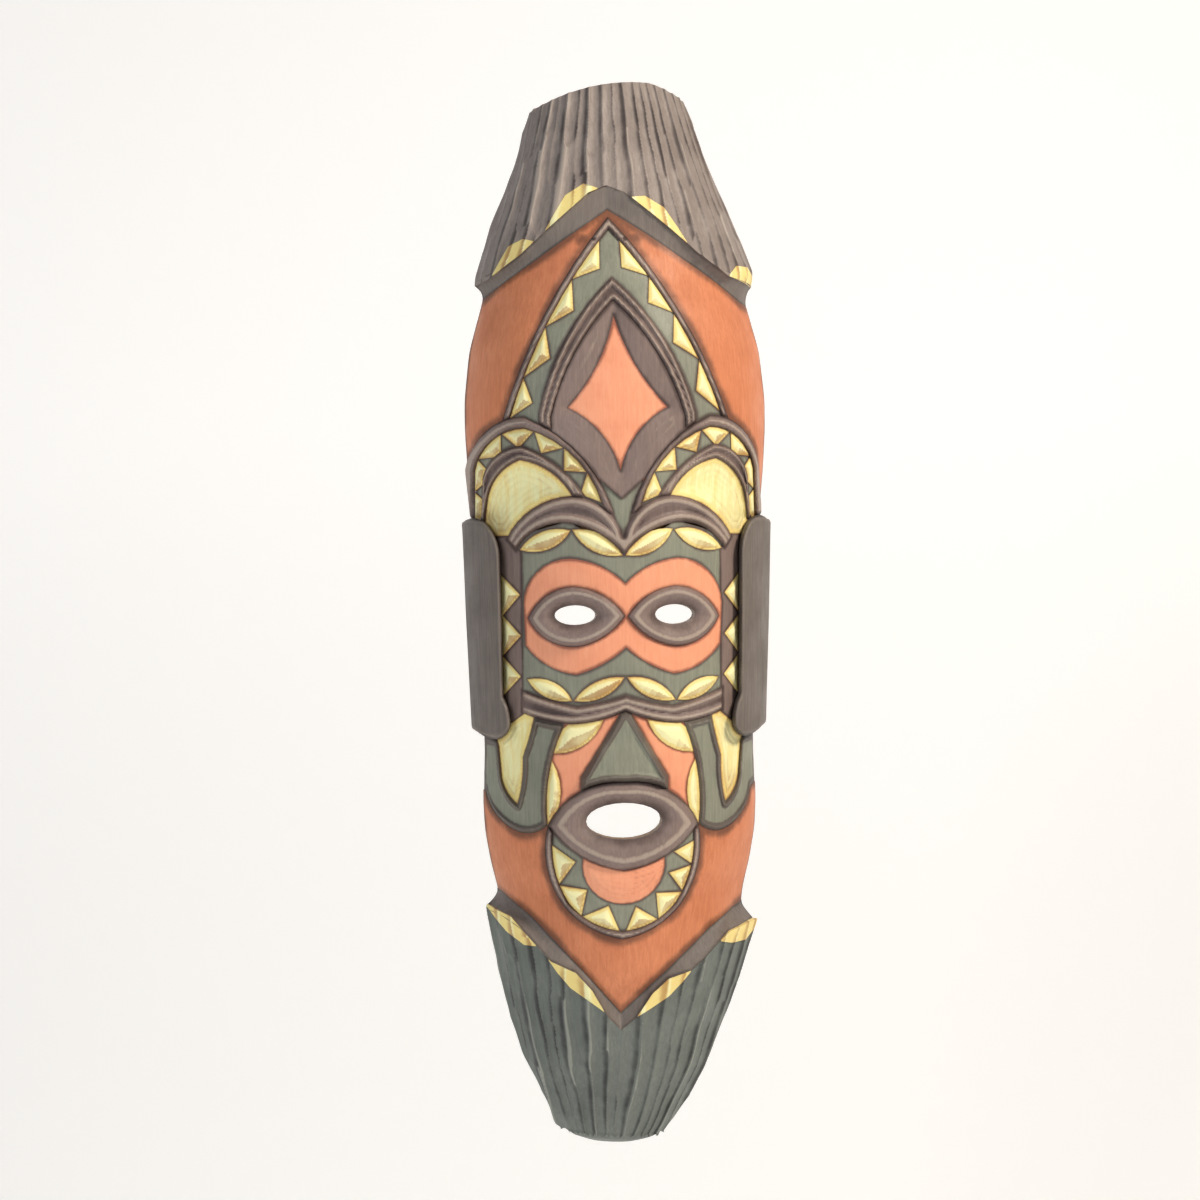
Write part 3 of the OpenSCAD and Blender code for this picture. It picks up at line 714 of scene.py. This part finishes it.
@dataclass(frozen=True)
class Fluted(Carving):
    """A body dressed with a gouge: long overlapping flutes with rounded starts."""

    low: float = 0.0
    high: float = 1.0
    downward: bool = True
    base_mm: float = 0.2
    ridge_mm: float = 2.6
    flutes: int = 21
    half: float = 1.36
    wide: float = 1.2
    cut: float = 1.0

    def cuts(self) -> list[tuple[float, float, float, float, float]]:
        """Lists the gouge cuts: middle angle, lean, head, length and depth."""
        rng = np.random.default_rng(SEED + self.flutes)
        span, pitch = self.high - self.low, 2 * self.half / self.flutes
        out = []
        for i in range(self.flutes + 1):
            angle = first = -self.half + pitch * (i + rng.uniform(-0.1, 0.1))
            head = -rng.uniform(10, 40) * MM
            while head < span:
                length = span * rng.uniform(0.32, 0.6)
                if span - head - length < 0.25 * span:
                    length = 2 * span
                out.append((angle, rng.uniform(-0.4, 0.4), head, length, rng.uniform(0.85, 1.05)))
                head += length
                angle = first + pitch * rng.uniform(-0.26, 0.26)
        return out

    def gouged(self, patch: Patch) -> tuple[np.ndarray, np.ndarray]:
        """Works out what the cuts leave and which side of its own cut each point lies on."""
        angle, v = patch.angle(), patch.uv[:, 1]
        run = self.high - v if self.downward else v - self.low
        half_width = self.half / self.flutes
        slow, quick = waver(patch, 34 * MM, 9.0, 1.5), waver(patch, 12 * MM, 19.0, 1.5)
        sway = 0.5 * half_width * slow + 0.22 * half_width * quick
        deepest, side = np.zeros(len(v)), np.zeros(len(v))
        for middle, lean, head, length, depth in self.cuts():
            along = (run - head) / length
            off = (angle + sway - middle - lean * half_width * (along - 0.5)) / (self.wide * half_width)
            rounded = np.clip((run - head) / (8 * MM), 0, 1)
            tail = 1 - 0.3 * np.clip(along, 0, 1) - 0.5 * grown(run - head - length, 0, 14 * MM)
            hollow = depth * tail * np.sqrt(np.maximum(1 - (1 - rounded) ** 2, 0)) - 0.72 * off**2
            wins = (hollow > deepest) & (rounded > 0)
            deepest, side = np.where(wins, hollow, deepest), np.where(wins, off, side)
        chatter = 0.05 * waver(patch, 7 * MM, 11.0, 1.2)
        return 1 - self.cut * np.clip(deepest + chatter, 0, 1), side

    def heights(self, patch: Patch, away: np.ndarray) -> np.ndarray:
        """Gives the height of each point over the body."""
        left, _ = self.gouged(patch)
        ends = grown(patch.uv[:, 1] - self.low, 0, 9 * MM) * grown(self.high - patch.uv[:, 1], 0, 5 * MM)
        return (self.base_mm + self.ridge_mm * left * (0.25 + 0.75 * ends)) * MM

    def crest(self, patch: Patch, away: np.ndarray) -> np.ndarray:
        """Gives the share of worn, pale paint on the sharp edges between flutes."""
        left, _ = self.gouged(patch)
        return grown(left, 0.62, 0.95)

    def edge(self, patch: Patch, away: np.ndarray) -> np.ndarray:
        """Gives the share of painted shade, the most along one side of every flute."""
        _, side = self.gouged(patch)
        shadow = grown(side, 0.0, 0.65) * (1 - grown(side, 0.75, 0.95))
        return shadow * (0.75 + 0.25 * waver(patch, 26 * MM, 4.0, 3.0))


# --- Paint ---------------------------------------------------------------------------------

Rgb = tuple[float, float, float]


def linear(colour: Rgb) -> tuple[float, float, float, float]:
    """Turns a screen colour into the light it stands for."""
    return (*(c / 12.92 if c < 0.04045 else ((c + 0.055) / 1.055) ** 2.4 for c in colour), 1.0)


class Tree:
    """A node tree under construction."""

    def __init__(self, tree: bpy.types.NodeTree) -> None:
        """Empties the tree."""
        self.tree = tree
        tree.nodes.clear()

    def add(self, kind: str, values: dict | None = None, **options: object) -> bpy.types.Node:
        """Adds a node.

        Args:
            kind: The node's type, without its ShaderNode prefix where it has one.
            values: Values or sockets for its inputs, by name or number.
            **options: The node's own settings.

        Returns:
            The node.
        """
        name = kind if kind.startswith("NodeGroup") else "ShaderNode" + kind
        node = self.tree.nodes.new(name)
        for key, value in options.items():
            setattr(node, key, value)
        for key, value in (values or {}).items():
            if isinstance(value, bpy.types.NodeSocket):
                self.tree.links.new(value, node.inputs[key])
            else:
                node.inputs[key].default_value = value
        return node

    def mixed(self, share: object, a: object, b: object) -> bpy.types.NodeSocket:
        """Mixes two colours."""
        return self.add("Mix", {0: share, 6: a, 7: b}, data_type="RGBA").outputs[2]

    def value(self, operation: str, a: object, b: object) -> bpy.types.NodeSocket:
        """Works out one value from two."""
        return self.add("Math", {0: a, 1: b}, operation=operation).outputs[0]

    def blended(self, a: object, share_a: float, b: object, share_b: float) -> bpy.types.NodeSocket:
        """Adds a share of one value to a share of another."""
        return self.value("ADD", self.value("MULTIPLY", a, share_a), self.value("MULTIPLY", b, share_b))

    def ramp(self, value: bpy.types.NodeSocket, lo: float, hi: float) -> bpy.types.NodeSocket:
        """Spreads a stretch of values over 0 to 1."""
        return self.add("MapRange", {0: value, 1: lo, 2: hi}, interpolation_type="SMOOTHSTEP").outputs[0]


def group(
    name: str, inputs: dict[str, tuple[str, object]], outputs: dict[str, str],
) -> tuple[Tree, bpy.types.Node, bpy.types.Node]:
    """Starts a shader group.

    Args:
        name: Its name.
        inputs: Each input's socket type and usual value.
        outputs: Each output's socket type.

    Returns:
        Its tree, its input node and its output node.
    """
    made = bpy.data.node_groups.new(name, "ShaderNodeTree")
    for label, (kind, usual) in inputs.items():
        socket = made.interface.new_socket(label, in_out="INPUT", socket_type="NodeSocket" + kind)
        if usual is not None:
            socket.default_value = usual
    for label, kind in outputs.items():
        made.interface.new_socket(label, in_out="OUTPUT", socket_type="NodeSocket" + kind)
    tree = Tree(made)
    return tree, tree.add("NodeGroupInput"), tree.add("NodeGroupOutput")


def wood_grain() -> bpy.types.NodeTree:
    """Builds the grain: long streaks and fine pores that run up the log, and soft mottling."""
    tree, given, out = group(
        "wood_grain",
        {"Width": ("Float", 600.0), "Length": ("Float", 40.0)},
        {"Streaks": "Float", "Pores": "Float", "Mottle": "Float"},
    )
    place = tree.add("TexCoord").outputs["Object"]
    width, length = given.outputs["Width"], given.outputs["Length"]
    size = tree.add("CombineXYZ", {0: width, 1: width, 2: length})
    drawn = tree.add("VectorMath", {0: place, 1: size.outputs[0]}, operation="MULTIPLY").outputs[0]
    streaks = tree.add("TexNoise", {
        "Vector": drawn, "Scale": 1.0, "Detail": 5.0, "Roughness": 0.62, "Distortion": 0.6,
    })
    pores = tree.add("TexNoise", {"Vector": drawn, "Scale": 4.2, "Detail": 3.0, "Roughness": 0.7})
    mottle = tree.add("TexNoise", {"Vector": place, "Scale": 38.0, "Detail": 4.0, "Roughness": 0.6})
    for label, node in (("Streaks", streaks), ("Pores", pores), ("Mottle", mottle)):
        tree.tree.links.new(tree.ramp(node.outputs[0], 0.3, 0.7), out.inputs[label])
    return tree.tree


def hand_paint() -> bpy.types.NodeTree:
    """Builds hand-rubbed paint: grain showing through, stain and painted shade darkening the edges and
    corners, worn on crests.
    """
    tree, given, out = group(
        "hand_paint",
        {
            "Base": ("Color", None), "Deep": ("Color", None), "Pale": ("Color", None),
            "Stain": ("Color", None), "Streaks": ("Float", 0.5), "Pores": ("Float", 0.5),
            "Mottle": ("Float", 0.5), "Edge": ("Float", 0.0), "Crest": ("Float", 0.0),
            "Grain Share": ("Float", 0.4), "Stain Share": ("Float", 0.5), "Wear Share": ("Float", 0.5),
        },
        {"Color": "Color", "Height": "Float", "Roughness": "Float"},
    )
    got = given.outputs
    grain = tree.blended(got["Streaks"], 0.7, got["Pores"], 0.3)
    grain = tree.value("MULTIPLY", grain, got["Grain Share"])
    colour = tree.mixed(grain, got["Base"], got["Deep"])
    colour = tree.mixed(tree.value("MULTIPLY", got["Mottle"], 0.22), colour, got["Deep"])
    rub = tree.ramp(tree.value("ADD", got["Crest"], tree.value("MULTIPLY", got["Streaks"], 0.35)), 0.55, 1.15)
    colour = tree.mixed(tree.value("MULTIPLY", rub, got["Wear Share"]), colour, got["Pale"])
    # Stain and painted shade: the Stain colour mixed in along edges, in grooves and in hollows, with some
    # random mottling
    corner = tree.ramp(tree.value("ADD", got["Edge"], tree.value("MULTIPLY", got["Mottle"], 0.5)), 0.35, 1.3)
    colour = tree.mixed(tree.value("MULTIPLY", corner, got["Stain Share"]), colour, got["Stain"])
    height = tree.blended(got["Streaks"], 0.65, got["Pores"], 0.35)
    rough = tree.value("ADD", 0.42, tree.value("MULTIPLY", got["Mottle"], 0.22))
    tree.tree.links.new(colour, out.inputs["Color"])
    tree.tree.links.new(height, out.inputs["Height"])
    tree.tree.links.new(rough, out.inputs["Roughness"])
    return tree.tree


@dataclass(frozen=True)
class Finish:
    """One paint or metal and how it lies on the wood."""

    slot: str
    base: Rgb
    deep: Rgb
    pale: Rgb
    # The colour, and below it the share, of the dark stain and painted shade along edges, in grooves and in
    # hollows
    stain: Rgb = (0.22, 0.17, 0.15)
    grain: float = 0.4
    stain_and_shade: float = 0.6
    worn: float = 0.5
    width: float = 600.0
    length: float = 40.0
    bump: float = 0.35
    depth_mm: float = 0.25
    metal: bool = False

    def material(self) -> bpy.types.Material:
        """Makes the material, or finds it if it has been made."""
        name = "finish_" + self.slot
        if name in bpy.data.materials:
            return bpy.data.materials[name]
        made = bpy.data.materials.new(name)
        made.use_nodes = True
        tree = Tree(made.node_tree)
        grain = tree.add("Group", node_tree=bpy.data.node_groups["wood_grain"])
        grain.inputs["Width"].default_value = self.width
        grain.inputs["Length"].default_value = self.length
        paint = tree.add("Group", node_tree=bpy.data.node_groups["hand_paint"])
        colours = {"Base": self.base, "Deep": self.deep, "Pale": self.pale, "Stain": self.stain}
        for label, colour in colours.items():
            paint.inputs[label].default_value = linear(colour)
        shares = {"Grain Share": self.grain, "Stain Share": self.stain_and_shade, "Wear Share": self.worn}
        for label, share in shares.items():
            paint.inputs[label].default_value = share
        for label in ("Streaks", "Pores", "Mottle"):
            made.node_tree.links.new(grain.outputs[label], paint.inputs[label])
        # The edge attribute carries dark stain and painted shade; the crest attribute carries worn, pale
        # paint
        for label in ("Edge", "Crest"):
            mark = tree.add("Attribute", attribute_name=label.lower())
            made.node_tree.links.new(mark.outputs["Fac"], paint.inputs[label])
        bump = tree.add("Bump", {
            "Strength": self.bump, "Distance": self.depth_mm * MM, "Height": paint.outputs["Height"],
        })
        shader = tree.add("BsdfPrincipled", {
            "Base Color": paint.outputs["Color"], "Roughness": paint.outputs["Roughness"],
            "Normal": bump.outputs["Normal"], "Metallic": 1.0 if self.metal else 0.0,
            "Specular IOR Level": 0.35,
        })
        tree.add("OutputMaterial", {"Surface": shader.outputs[0]})
        return made


class Paint(Enum):
    """The finishes of the mask."""

    SKIN = Finish(
        "skin_paint", (0.89, 0.57, 0.40), (0.68, 0.35, 0.22), (0.97, 0.73, 0.53),
        (0.36, 0.24, 0.19), grain=0.42, stain_and_shade=0.8, worn=0.3,
    )
    SALMON = Finish(
        "salmon_paint", (0.99, 0.69, 0.54), (0.88, 0.48, 0.34), (1.0, 0.82, 0.68),
        (0.50, 0.27, 0.22), grain=0.3, stain_and_shade=0.8,
    )
    CREAM = Finish(
        "cream_paint", (0.98, 0.91, 0.60), (0.92, 0.76, 0.44), (1.0, 0.99, 0.78),
        (0.66, 0.42, 0.20), grain=0.25, stain_and_shade=0.75, worn=0.8,
    )
    GROUND = Finish(
        "ground_paint", (0.60, 0.60, 0.53), (0.42, 0.43, 0.38), (0.76, 0.74, 0.67),
        (0.33, 0.27, 0.26), grain=0.5, stain_and_shade=0.8,
    )
    RIDGE = Finish(
        "ridge_paint", (0.58, 0.50, 0.47), (0.38, 0.32, 0.30), (0.78, 0.71, 0.64),
        (0.24, 0.18, 0.17), grain=0.45, stain_and_shade=0.75, worn=0.55,
    )
    CROWN = Finish(
        "crown_paint", (0.63, 0.58, 0.55), (0.42, 0.38, 0.36), (0.80, 0.74, 0.68),
        (0.20, 0.16, 0.16), grain=0.5, stain_and_shade=0.85, worn=0.45, length=22.0,
    )
    BEARD = Finish(
        "beard_paint", (0.48, 0.50, 0.47), (0.31, 0.33, 0.32), (0.70, 0.70, 0.65),
        (0.15, 0.14, 0.15), grain=0.5, stain_and_shade=0.85, worn=0.45, length=22.0,
    )
    EAR = Finish(
        "ear_paint", (0.50, 0.46, 0.43), (0.33, 0.30, 0.28), (0.68, 0.61, 0.54),
        (0.17, 0.14, 0.14), grain=0.6, stain_and_shade=0.7, worn=0.5, length=22.0,
    )
    RIM = Finish(
        "rim_paint", (0.52, 0.48, 0.45), (0.33, 0.30, 0.29), (0.76, 0.69, 0.62),
        (0.20, 0.17, 0.17), grain=0.45, stain_and_shade=0.7, worn=0.6,
    )
    RAW = Finish(
        "raw_wood", (0.66, 0.52, 0.36), (0.44, 0.31, 0.19), (0.78, 0.66, 0.48),
        (0.25, 0.17, 0.11), grain=0.8, stain_and_shade=0.5, worn=0.0, bump=0.6, depth_mm=0.6,
    )
    STEEL = Finish(
        "steel", (0.66, 0.66, 0.65), (0.50, 0.50, 0.50), (0.8, 0.8, 0.8),
        (0.3, 0.28, 0.26), grain=0.3, stain_and_shade=0.4, worn=0.0, width=900.0, length=900.0,
        bump=0.08, depth_mm=0.05, metal=True,
    )


# --- Pieces --------------------------------------------------------------------------------


@dataclass
class Carver:
    """Makes carved pieces over the solids and keeps count of them."""

    bodies: dict[Level, Turning]
    step_mm: float = 1.15
    sink_mm: float = 3.8
    made: list[bpy.types.Object] = field(default_factory=list)

    def carve(
        self, node: str, carving: Carving, paint: Paint, body: Level = Level.HEAD, *,
        step_mm: float | None = None, level_mm: float = 0.0, relief_mm: float | None = None,
        sink_mm: float | None = None, keep: bool = False,
    ) -> bpy.types.Object:
        """Carves one area as a closed piece.

        Args:
            node: The solid it stands for.
            carving: The way its top is cut.
            paint: Its finish.
            body: The turned body it lies on.
            step_mm: The spacing of its mesh, where it isn't the usual one.
            level_mm: The height over the body at which its edge is measured.
            relief_mm: Where given, only the solid's faces at about this height count.
            sink_mm: How deep it is let in, where it isn't the usual depth.
            keep: Whether the solid still shows, with the piece as its skin.

        Returns:
            The piece.
        """
        patch = rolled_out(
            node, self.bodies[body], (step_mm or self.step_mm) * MM, level_mm * MM,
            None if relief_mm is None else relief_mm * MM,
        )
        away = patch.away()
        height = carving.heights(patch, away)
        sink = (self.sink_mm if sink_mm is None else sink_mm) * MM
        piece = solid_piece(node + "_carved", patch, height, sink)
        # edge: the share of dark stain and painted shade; crest: the share of worn, pale paint
        marks = {"edge": carving.edge(patch, away), "crest": carving.crest(patch, away)}
        for name, values in marks.items():
            layer = piece.data.attributes.new(name, "FLOAT", "POINT")
            layer.data.foreach_set("value", np.tile(np.clip(values, 0, 1), 2).astype(np.float32))
        piece.data.materials.append(paint.value.material())
        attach(piece, "root")
        if not keep:
            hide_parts(node)
        self.made.append(piece)
        log.info("%s: %d triangles", piece.name, len(piece.data.polygons))
        return piece


def solid_piece(name: str, patch: Patch, height: np.ndarray, sink: float) -> bpy.types.Object:
    """Builds a closed mesh from an area's top, with walls that run straight back.

    Args:
        name: The piece's name.
        patch: The meshed area.
        height: The height of each point over the body.
        sink: The depth of the piece's floor below the body.

    Returns:
        The piece, linked into the scene.
    """
    turning, angle = patch.turning, patch.angle()
    radius = turning.radius(patch.uv[:, 1])
    edge, out = turning.back_angle(radius + patch.level), turning.back_angle(radius + height)
    straight = np.arcsin(np.clip((radius + patch.level) * np.sin(angle) / (radius + height), -1, 1))
    share = grown(np.abs(angle) / edge, 0.72, 1.0)
    angle = (1 - share) * straight + share * angle * out / edge
    top = np.stack([
        (radius + height) * np.sin(angle), AXIS_BACK - (radius + height) * np.cos(angle), patch.uv[:, 1],
    ], axis=1)
    top[:, 1] = np.minimum(top[:, 1], -0.02 * MM)
    floor = top.copy()
    inner = np.maximum((radius - sink) ** 2 - top[:, 0] ** 2, 0)
    floor[:, 1] = np.minimum(AXIS_BACK - np.sqrt(inner), 0.0)
    floor[:, 1] = np.maximum(floor[:, 1], top[:, 1] + 0.01 * MM)
    top, floor = (tilted(side, turning.tilt, turning.pivot) for side in (top, floor))
    n = len(top)
    tris = patch.tris
    a, b, c = (top[tris[:, i]] for i in range(3))
    flip = (np.cross(b - a, c - a) * ((a + b + c) / 3 - (0, AXIS_BACK, 0)) * (1, 1, 0)).sum(1) < 0
    tris = np.where(flip[:, None], tris[:, ::-1], tris)
    edges = np.concatenate([tris[:, [0, 1]], tris[:, [1, 2]], tris[:, [2, 0]]]).tolist()
    there = {tuple(e) for e in edges}
    walls = [(q, p, p + n, q + n) for p, q in edges if (q, p) not in there]
    mesh = bpy.data.meshes.new(name)
    mesh.from_pydata(
        np.concatenate([top, floor]).tolist(), [],
        tris.tolist() + (tris[:, ::-1] + n).tolist() + walls,
    )
    mesh.validate()
    mesh.shade_smooth()
    mesh.set_sharp_from_angle(angle=SHARP)
    piece = bpy.data.objects.new(name, mesh)
    bpy.context.collection.objects.link(piece)
    return piece


@dataclass
class Gouged:
    """The crown or the beard: a fluted body with its rim and its pale tips."""

    name: str
    body: Level
    paint: Paint
    flutes: int

    def build(self, carver: Carver) -> None:
        """Carves the body, its tips and its rim."""
        lo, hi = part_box(self.name)
        shape = {"low": lo[2], "high": hi[2], "flutes": self.flutes, "downward": self.body is Level.BEARD}
        flutes = Fluted(**shape)
        tips = Fluted(**shape, base_mm=0.5, ridge_mm=1.6, cut=0.45)
        edge = rolled_out(self.name, carver.bodies[Level.HEAD], 2.0 * MM)
        cove = Cove(body=carver.bodies[self.body], rim=tuple(edge.outlines))
        carver.carve(
            self.name, flutes, self.paint, self.body, step_mm=1.25, relief_mm=0.0, sink_mm=0.9, keep=True,
        )
        carver.carve(self.name + "_tips", tips, Paint.CREAM, self.body, sink_mm=1.9)
        carver.carve(self.name + "_rim", cove, Paint.RIM)


@dataclass
class Forehead:
    """The pointed forehead with its teeth, double ridges and sunk star."""

    star_mm: float = 2.5

    def build(self, carver: Carver) -> None:
        """Carves the forehead."""
        carver.carve("forehead_edge", Ridge(top_mm=1.8), Paint.RIDGE)
        carver.carve("forehead_ground", Carving(), Paint.GROUND)
        carver.carve("forehead_teeth", Faceted(), Paint.CREAM, step_mm=0.9)
        carver.carve("forehead_ridges", DoubleRidge(width_mm=6.0), Paint.RIDGE)
        carver.carve("star_bevel", Bevel(depth_mm=self.star_mm), Paint.RIDGE)
        carver.carve("forehead_star", Carving(top_mm=-self.star_mm), Paint.SALMON)


@dataclass
class Brows:
    """The brow arches with their teeth, bands and scooped crescents."""

    def build(self, carver: Carver) -> None:
        """Carves both brows."""
        carver.carve("brow_valley", Carving(), Paint.GROUND)
        carver.carve("brow_teeth", Faceted(), Paint.CREAM, step_mm=0.9)
        carver.carve("brow_ground", Carving(), Paint.GROUND)
        for side in ("left", "right"):
            carver.carve("brow_arch_" + side, Ridge(top_mm=2.6), Paint.RIDGE)
            carver.carve("brow_band_" + side, DoubleRidge(top_mm=2.4, width_mm=6.0), Paint.RIDGE)
            carver.carve("brow_crescent_" + side, Scooped(), Paint.CREAM)
        carver.carve("eyebrow_ridge", DoubleRidge(top_mm=2.8, width_mm=6.0), Paint.RIDGE)


@dataclass
class Eyes:
    """The eye field: pale leaves, salmon band and dark rims round the eye holes."""

    def build(self, carver: Carver) -> None:
        """Carves the eye field."""
        for part in ("upper", "lower"):
            carver.carve("eye_ground_" + part, Carving(), Paint.GROUND)
            carver.carve(part + "_leaves", Faceted(), Paint.CREAM, step_mm=0.9)
        carver.carve("eye_band", Carving(top_mm=0.3), Paint.SALMON)
        for side in ("left", "right"):
            carver.carve("eye_rim_" + side, Lip(), Paint.RIDGE, step_mm=0.9)
        carver.carve("under_eye_ridge", DoubleRidge(width_mm=6.0), Paint.RIDGE)


@dataclass
class Sides:
    """The temples with their teeth, and the ears."""

    ear_mm: float = 8.0

    def build(self, carver: Carver) -> None:
        """Carves the sides of the face."""
        carver.carve("temple_teeth", Faceted(), Paint.CREAM, step_mm=0.9)
        for side in ("left", "right"):
            carver.carve("temple_" + side, Carving(top_mm=0.2), Paint.RIDGE)
            carver.carve("ear_" + side, Slab(top_mm=self.ear_mm - 0.2), Paint.EAR, level_mm=self.ear_mm)


@dataclass
class Muzzle:
    """The nose, the cheeks and the mouth."""

    def build(self, carver: Carver) -> None:
        """Carves the muzzle."""
        carver.carve("nose", Wedge(), Paint.GROUND, step_mm=0.9)
        carver.carve("cheek_leaves", Faceted(), Paint.CREAM, step_mm=0.9)
        for side in ("left", "right"):
            carver.carve("cheek_panel_" + side, Carving(), Paint.SALMON)
            carver.carve("cheek_band_" + side, Framed(), Paint.GROUND)
            carver.carve("cheek_wedge_" + side, Scooped(depth_mm=1.4), Paint.CREAM)
        carver.carve("mouth_rim", Lip(crest_mm=5.4), Paint.RIDGE)


@dataclass
class Chin:
    """The chin with its teeth and tongue."""

    def build(self, carver: Carver) -> None:
        """Carves the chin."""
        carver.carve("chin_edge", Ridge(top_mm=1.8), Paint.RIDGE)
        carver.carve("chin_ground", Carving(), Paint.GROUND)
        carver.carve("chin_teeth", Faceted(), Paint.CREAM, step_mm=0.9)
        carver.carve("tongue", Domed(), Paint.SALMON)


@dataclass
class Block:
    """The head's own wood: its painted sides, its raw hollow and the hanger behind it."""

    skin_mm: float = 0.45

    def build(self, carver: Carver) -> None:
        """Carves the painted sides and dresses the solids that stay in sight."""
        # The skin darkens with stain and painted shade for 7 mm in from its edges
        skin = Carving(top_mm=self.skin_mm, uneven_mm=0.06, dip_mm=0.1, stain_and_shade_mm=7.0)
        carver.carve("head_shell", skin, Paint.SKIN, step_mm=2.2, relief_mm=0.0, sink_mm=1.0, keep=True)
        for node, paint in (
            ("head_shell", Paint.RAW), ("crown", Paint.CROWN), ("beard", Paint.BEARD),
            ("hanger_plate", Paint.STEEL), ("hanger_screws", Paint.STEEL),
        ):
            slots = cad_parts[node].data.materials
            slots.clear()
            slots.append(paint.value.material())


# --- Studio --------------------------------------------------------------------------------


@dataclass
class Studio:
    """A pale floor and wall, soft lights and the camera."""

    lens: float = 73.9
    place: tuple[float, float, float] = (-0.1099, -1.4258, -0.2499)
    yaw: float = math.radians(-4.0)
    roll: float = math.radians(0.7)
    drop: float = 0.30
    deep: float = 1.1
    half: float = 4.0

    def build(self) -> None:
        """Sets up the floor, the lights and the camera."""
        self.cove()
        self.light("key", (1.05, -0.95, 0.80), (-0.256, 0.35), 27.0, (1.0, 0.91, 0.79))
        self.light("fill", (-1.1, -1.3, 0.35), (-0.256, 0.7), 10.0, (0.88, 0.94, 1.0))
        world = bpy.data.worlds.new("studio")
        bpy.context.scene.world = world
        world.use_nodes = True
        world.node_tree.nodes["Background"].inputs[0].default_value = (1.0, 1.0, 1.0, 1.0)
        world.node_tree.nodes["Background"].inputs[1].default_value = 0.1
        self.camera()

    def cove(self) -> None:
        """Builds the floor that curves up into a wall behind the mask."""
        lo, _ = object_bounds()
        floor = lo.z - self.drop
        bend, steps = 0.8, 16
        line = [(-self.half, floor), (self.deep - bend, floor)]
        for i in range(1, steps + 1):
            turn = i / steps * math.pi / 2
            line.append((self.deep - bend + bend * math.sin(turn), floor + bend - bend * math.cos(turn)))
        line.append((self.deep, self.half))
        points = [(x, y, z) for x in (-self.half, self.half) for y, z in line]
        n = len(line)
        mesh = bpy.data.meshes.new("cove")
        mesh.from_pydata(points, [], [(i, i + n, i + n + 1, i + 1) for i in range(n - 1)])
        mesh.shade_smooth()
        cove = bpy.data.objects.new("cove", mesh)
        bpy.context.collection.objects.link(cove)
        made = bpy.data.materials.new("cove_paint")
        made.use_nodes = True
        shader = made.node_tree.nodes["Principled BSDF"]
        shader.inputs["Base Color"].default_value = (0.95, 0.95, 0.95, 1.0)
        shader.inputs["Roughness"].default_value = 0.9
        shader.inputs["Emission Color"].default_value = (1.0, 1.0, 1.0, 1.0)
        shader.inputs["Emission Strength"].default_value = 0.24
        mesh.materials.append(made)
        cove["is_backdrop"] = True

    def light(
        self, name: str, place: tuple[float, float, float], aim: tuple[float, float],
        power: float, colour: Rgb,
    ) -> None:
        """Hangs one soft light.

        Args:
            name: Its name.
            place: Where it hangs.
            aim: The height it points at and its width.
            power: Its strength in watts.
            colour: The colour of its light.
        """
        data = bpy.data.lights.new(name, "AREA")
        data.size, data.energy, data.color = aim[1], power, colour
        lamp = bpy.data.objects.new(name, data)
        lamp.location = place
        lamp.rotation_euler = (Vector((0, 0, aim[0])) - lamp.location).to_track_quat("-Z", "Y").to_euler()
        bpy.context.collection.objects.link(lamp)

    def camera(self) -> None:
        """Sets the camera in front of the mask, a little to its left."""
        c, s = math.cos(self.yaw), math.sin(self.yaw)
        cr, sr = math.cos(self.roll), math.sin(self.roll)
        axes = Matrix(((cr * c, sr * c, s), (cr * s, sr * s, -c), (-sr, cr, 0.0)))
        data = bpy.data.cameras.new("camera")
        data.lens = self.lens
        camera = bpy.data.objects.new("camera", data)
        camera.matrix_world = Matrix.Translation(self.place) @ axes.to_4x4()
        bpy.context.collection.objects.link(camera)
        bpy.context.scene.camera = camera
        bpy.context.scene.view_settings.view_transform = "Standard"


def main() -> None:
    """Builds the mask, then the studio round it."""
    logging.basicConfig(level=logging.INFO, format="%(name)s: %(message)s")
    wood_grain()
    hand_paint()
    head = Turning.of({
        "forehead_ground": 0.0, "brow_crescent_left": 0.0, "brow_crescent_right": 0.0,
        "eye_band": 0.0, "chin_ground": 0.0, "cheek_wedge_left": 0.0,
        "crown_rim": 1.5 * MM, "beard_rim": 1.5 * MM, "chin_edge": 1.5 * MM,
    })
    carver = Carver({
        Level.HEAD: head,
        Level.CROWN: Turning.of({"crown": 0.0}, CROWN_TILT, CROWN_PIVOT),
        Level.BEARD: Turning.of({"beard": 0.0}, BEARD_TILT, BEARD_PIVOT),
    })
    gouged = (
        Gouged("crown", Level.CROWN, Paint.CROWN, 21), Gouged("beard", Level.BEARD, Paint.BEARD, 17),
    )
    for part in (*gouged, Forehead(), Brows(), Eyes(), Sides(), Muzzle(), Chin(), Block()):
        part.build(carver)
    Studio().build()
    log.info("%d carved pieces", len(carver.made))


if __name__ == "__main__":
    main()
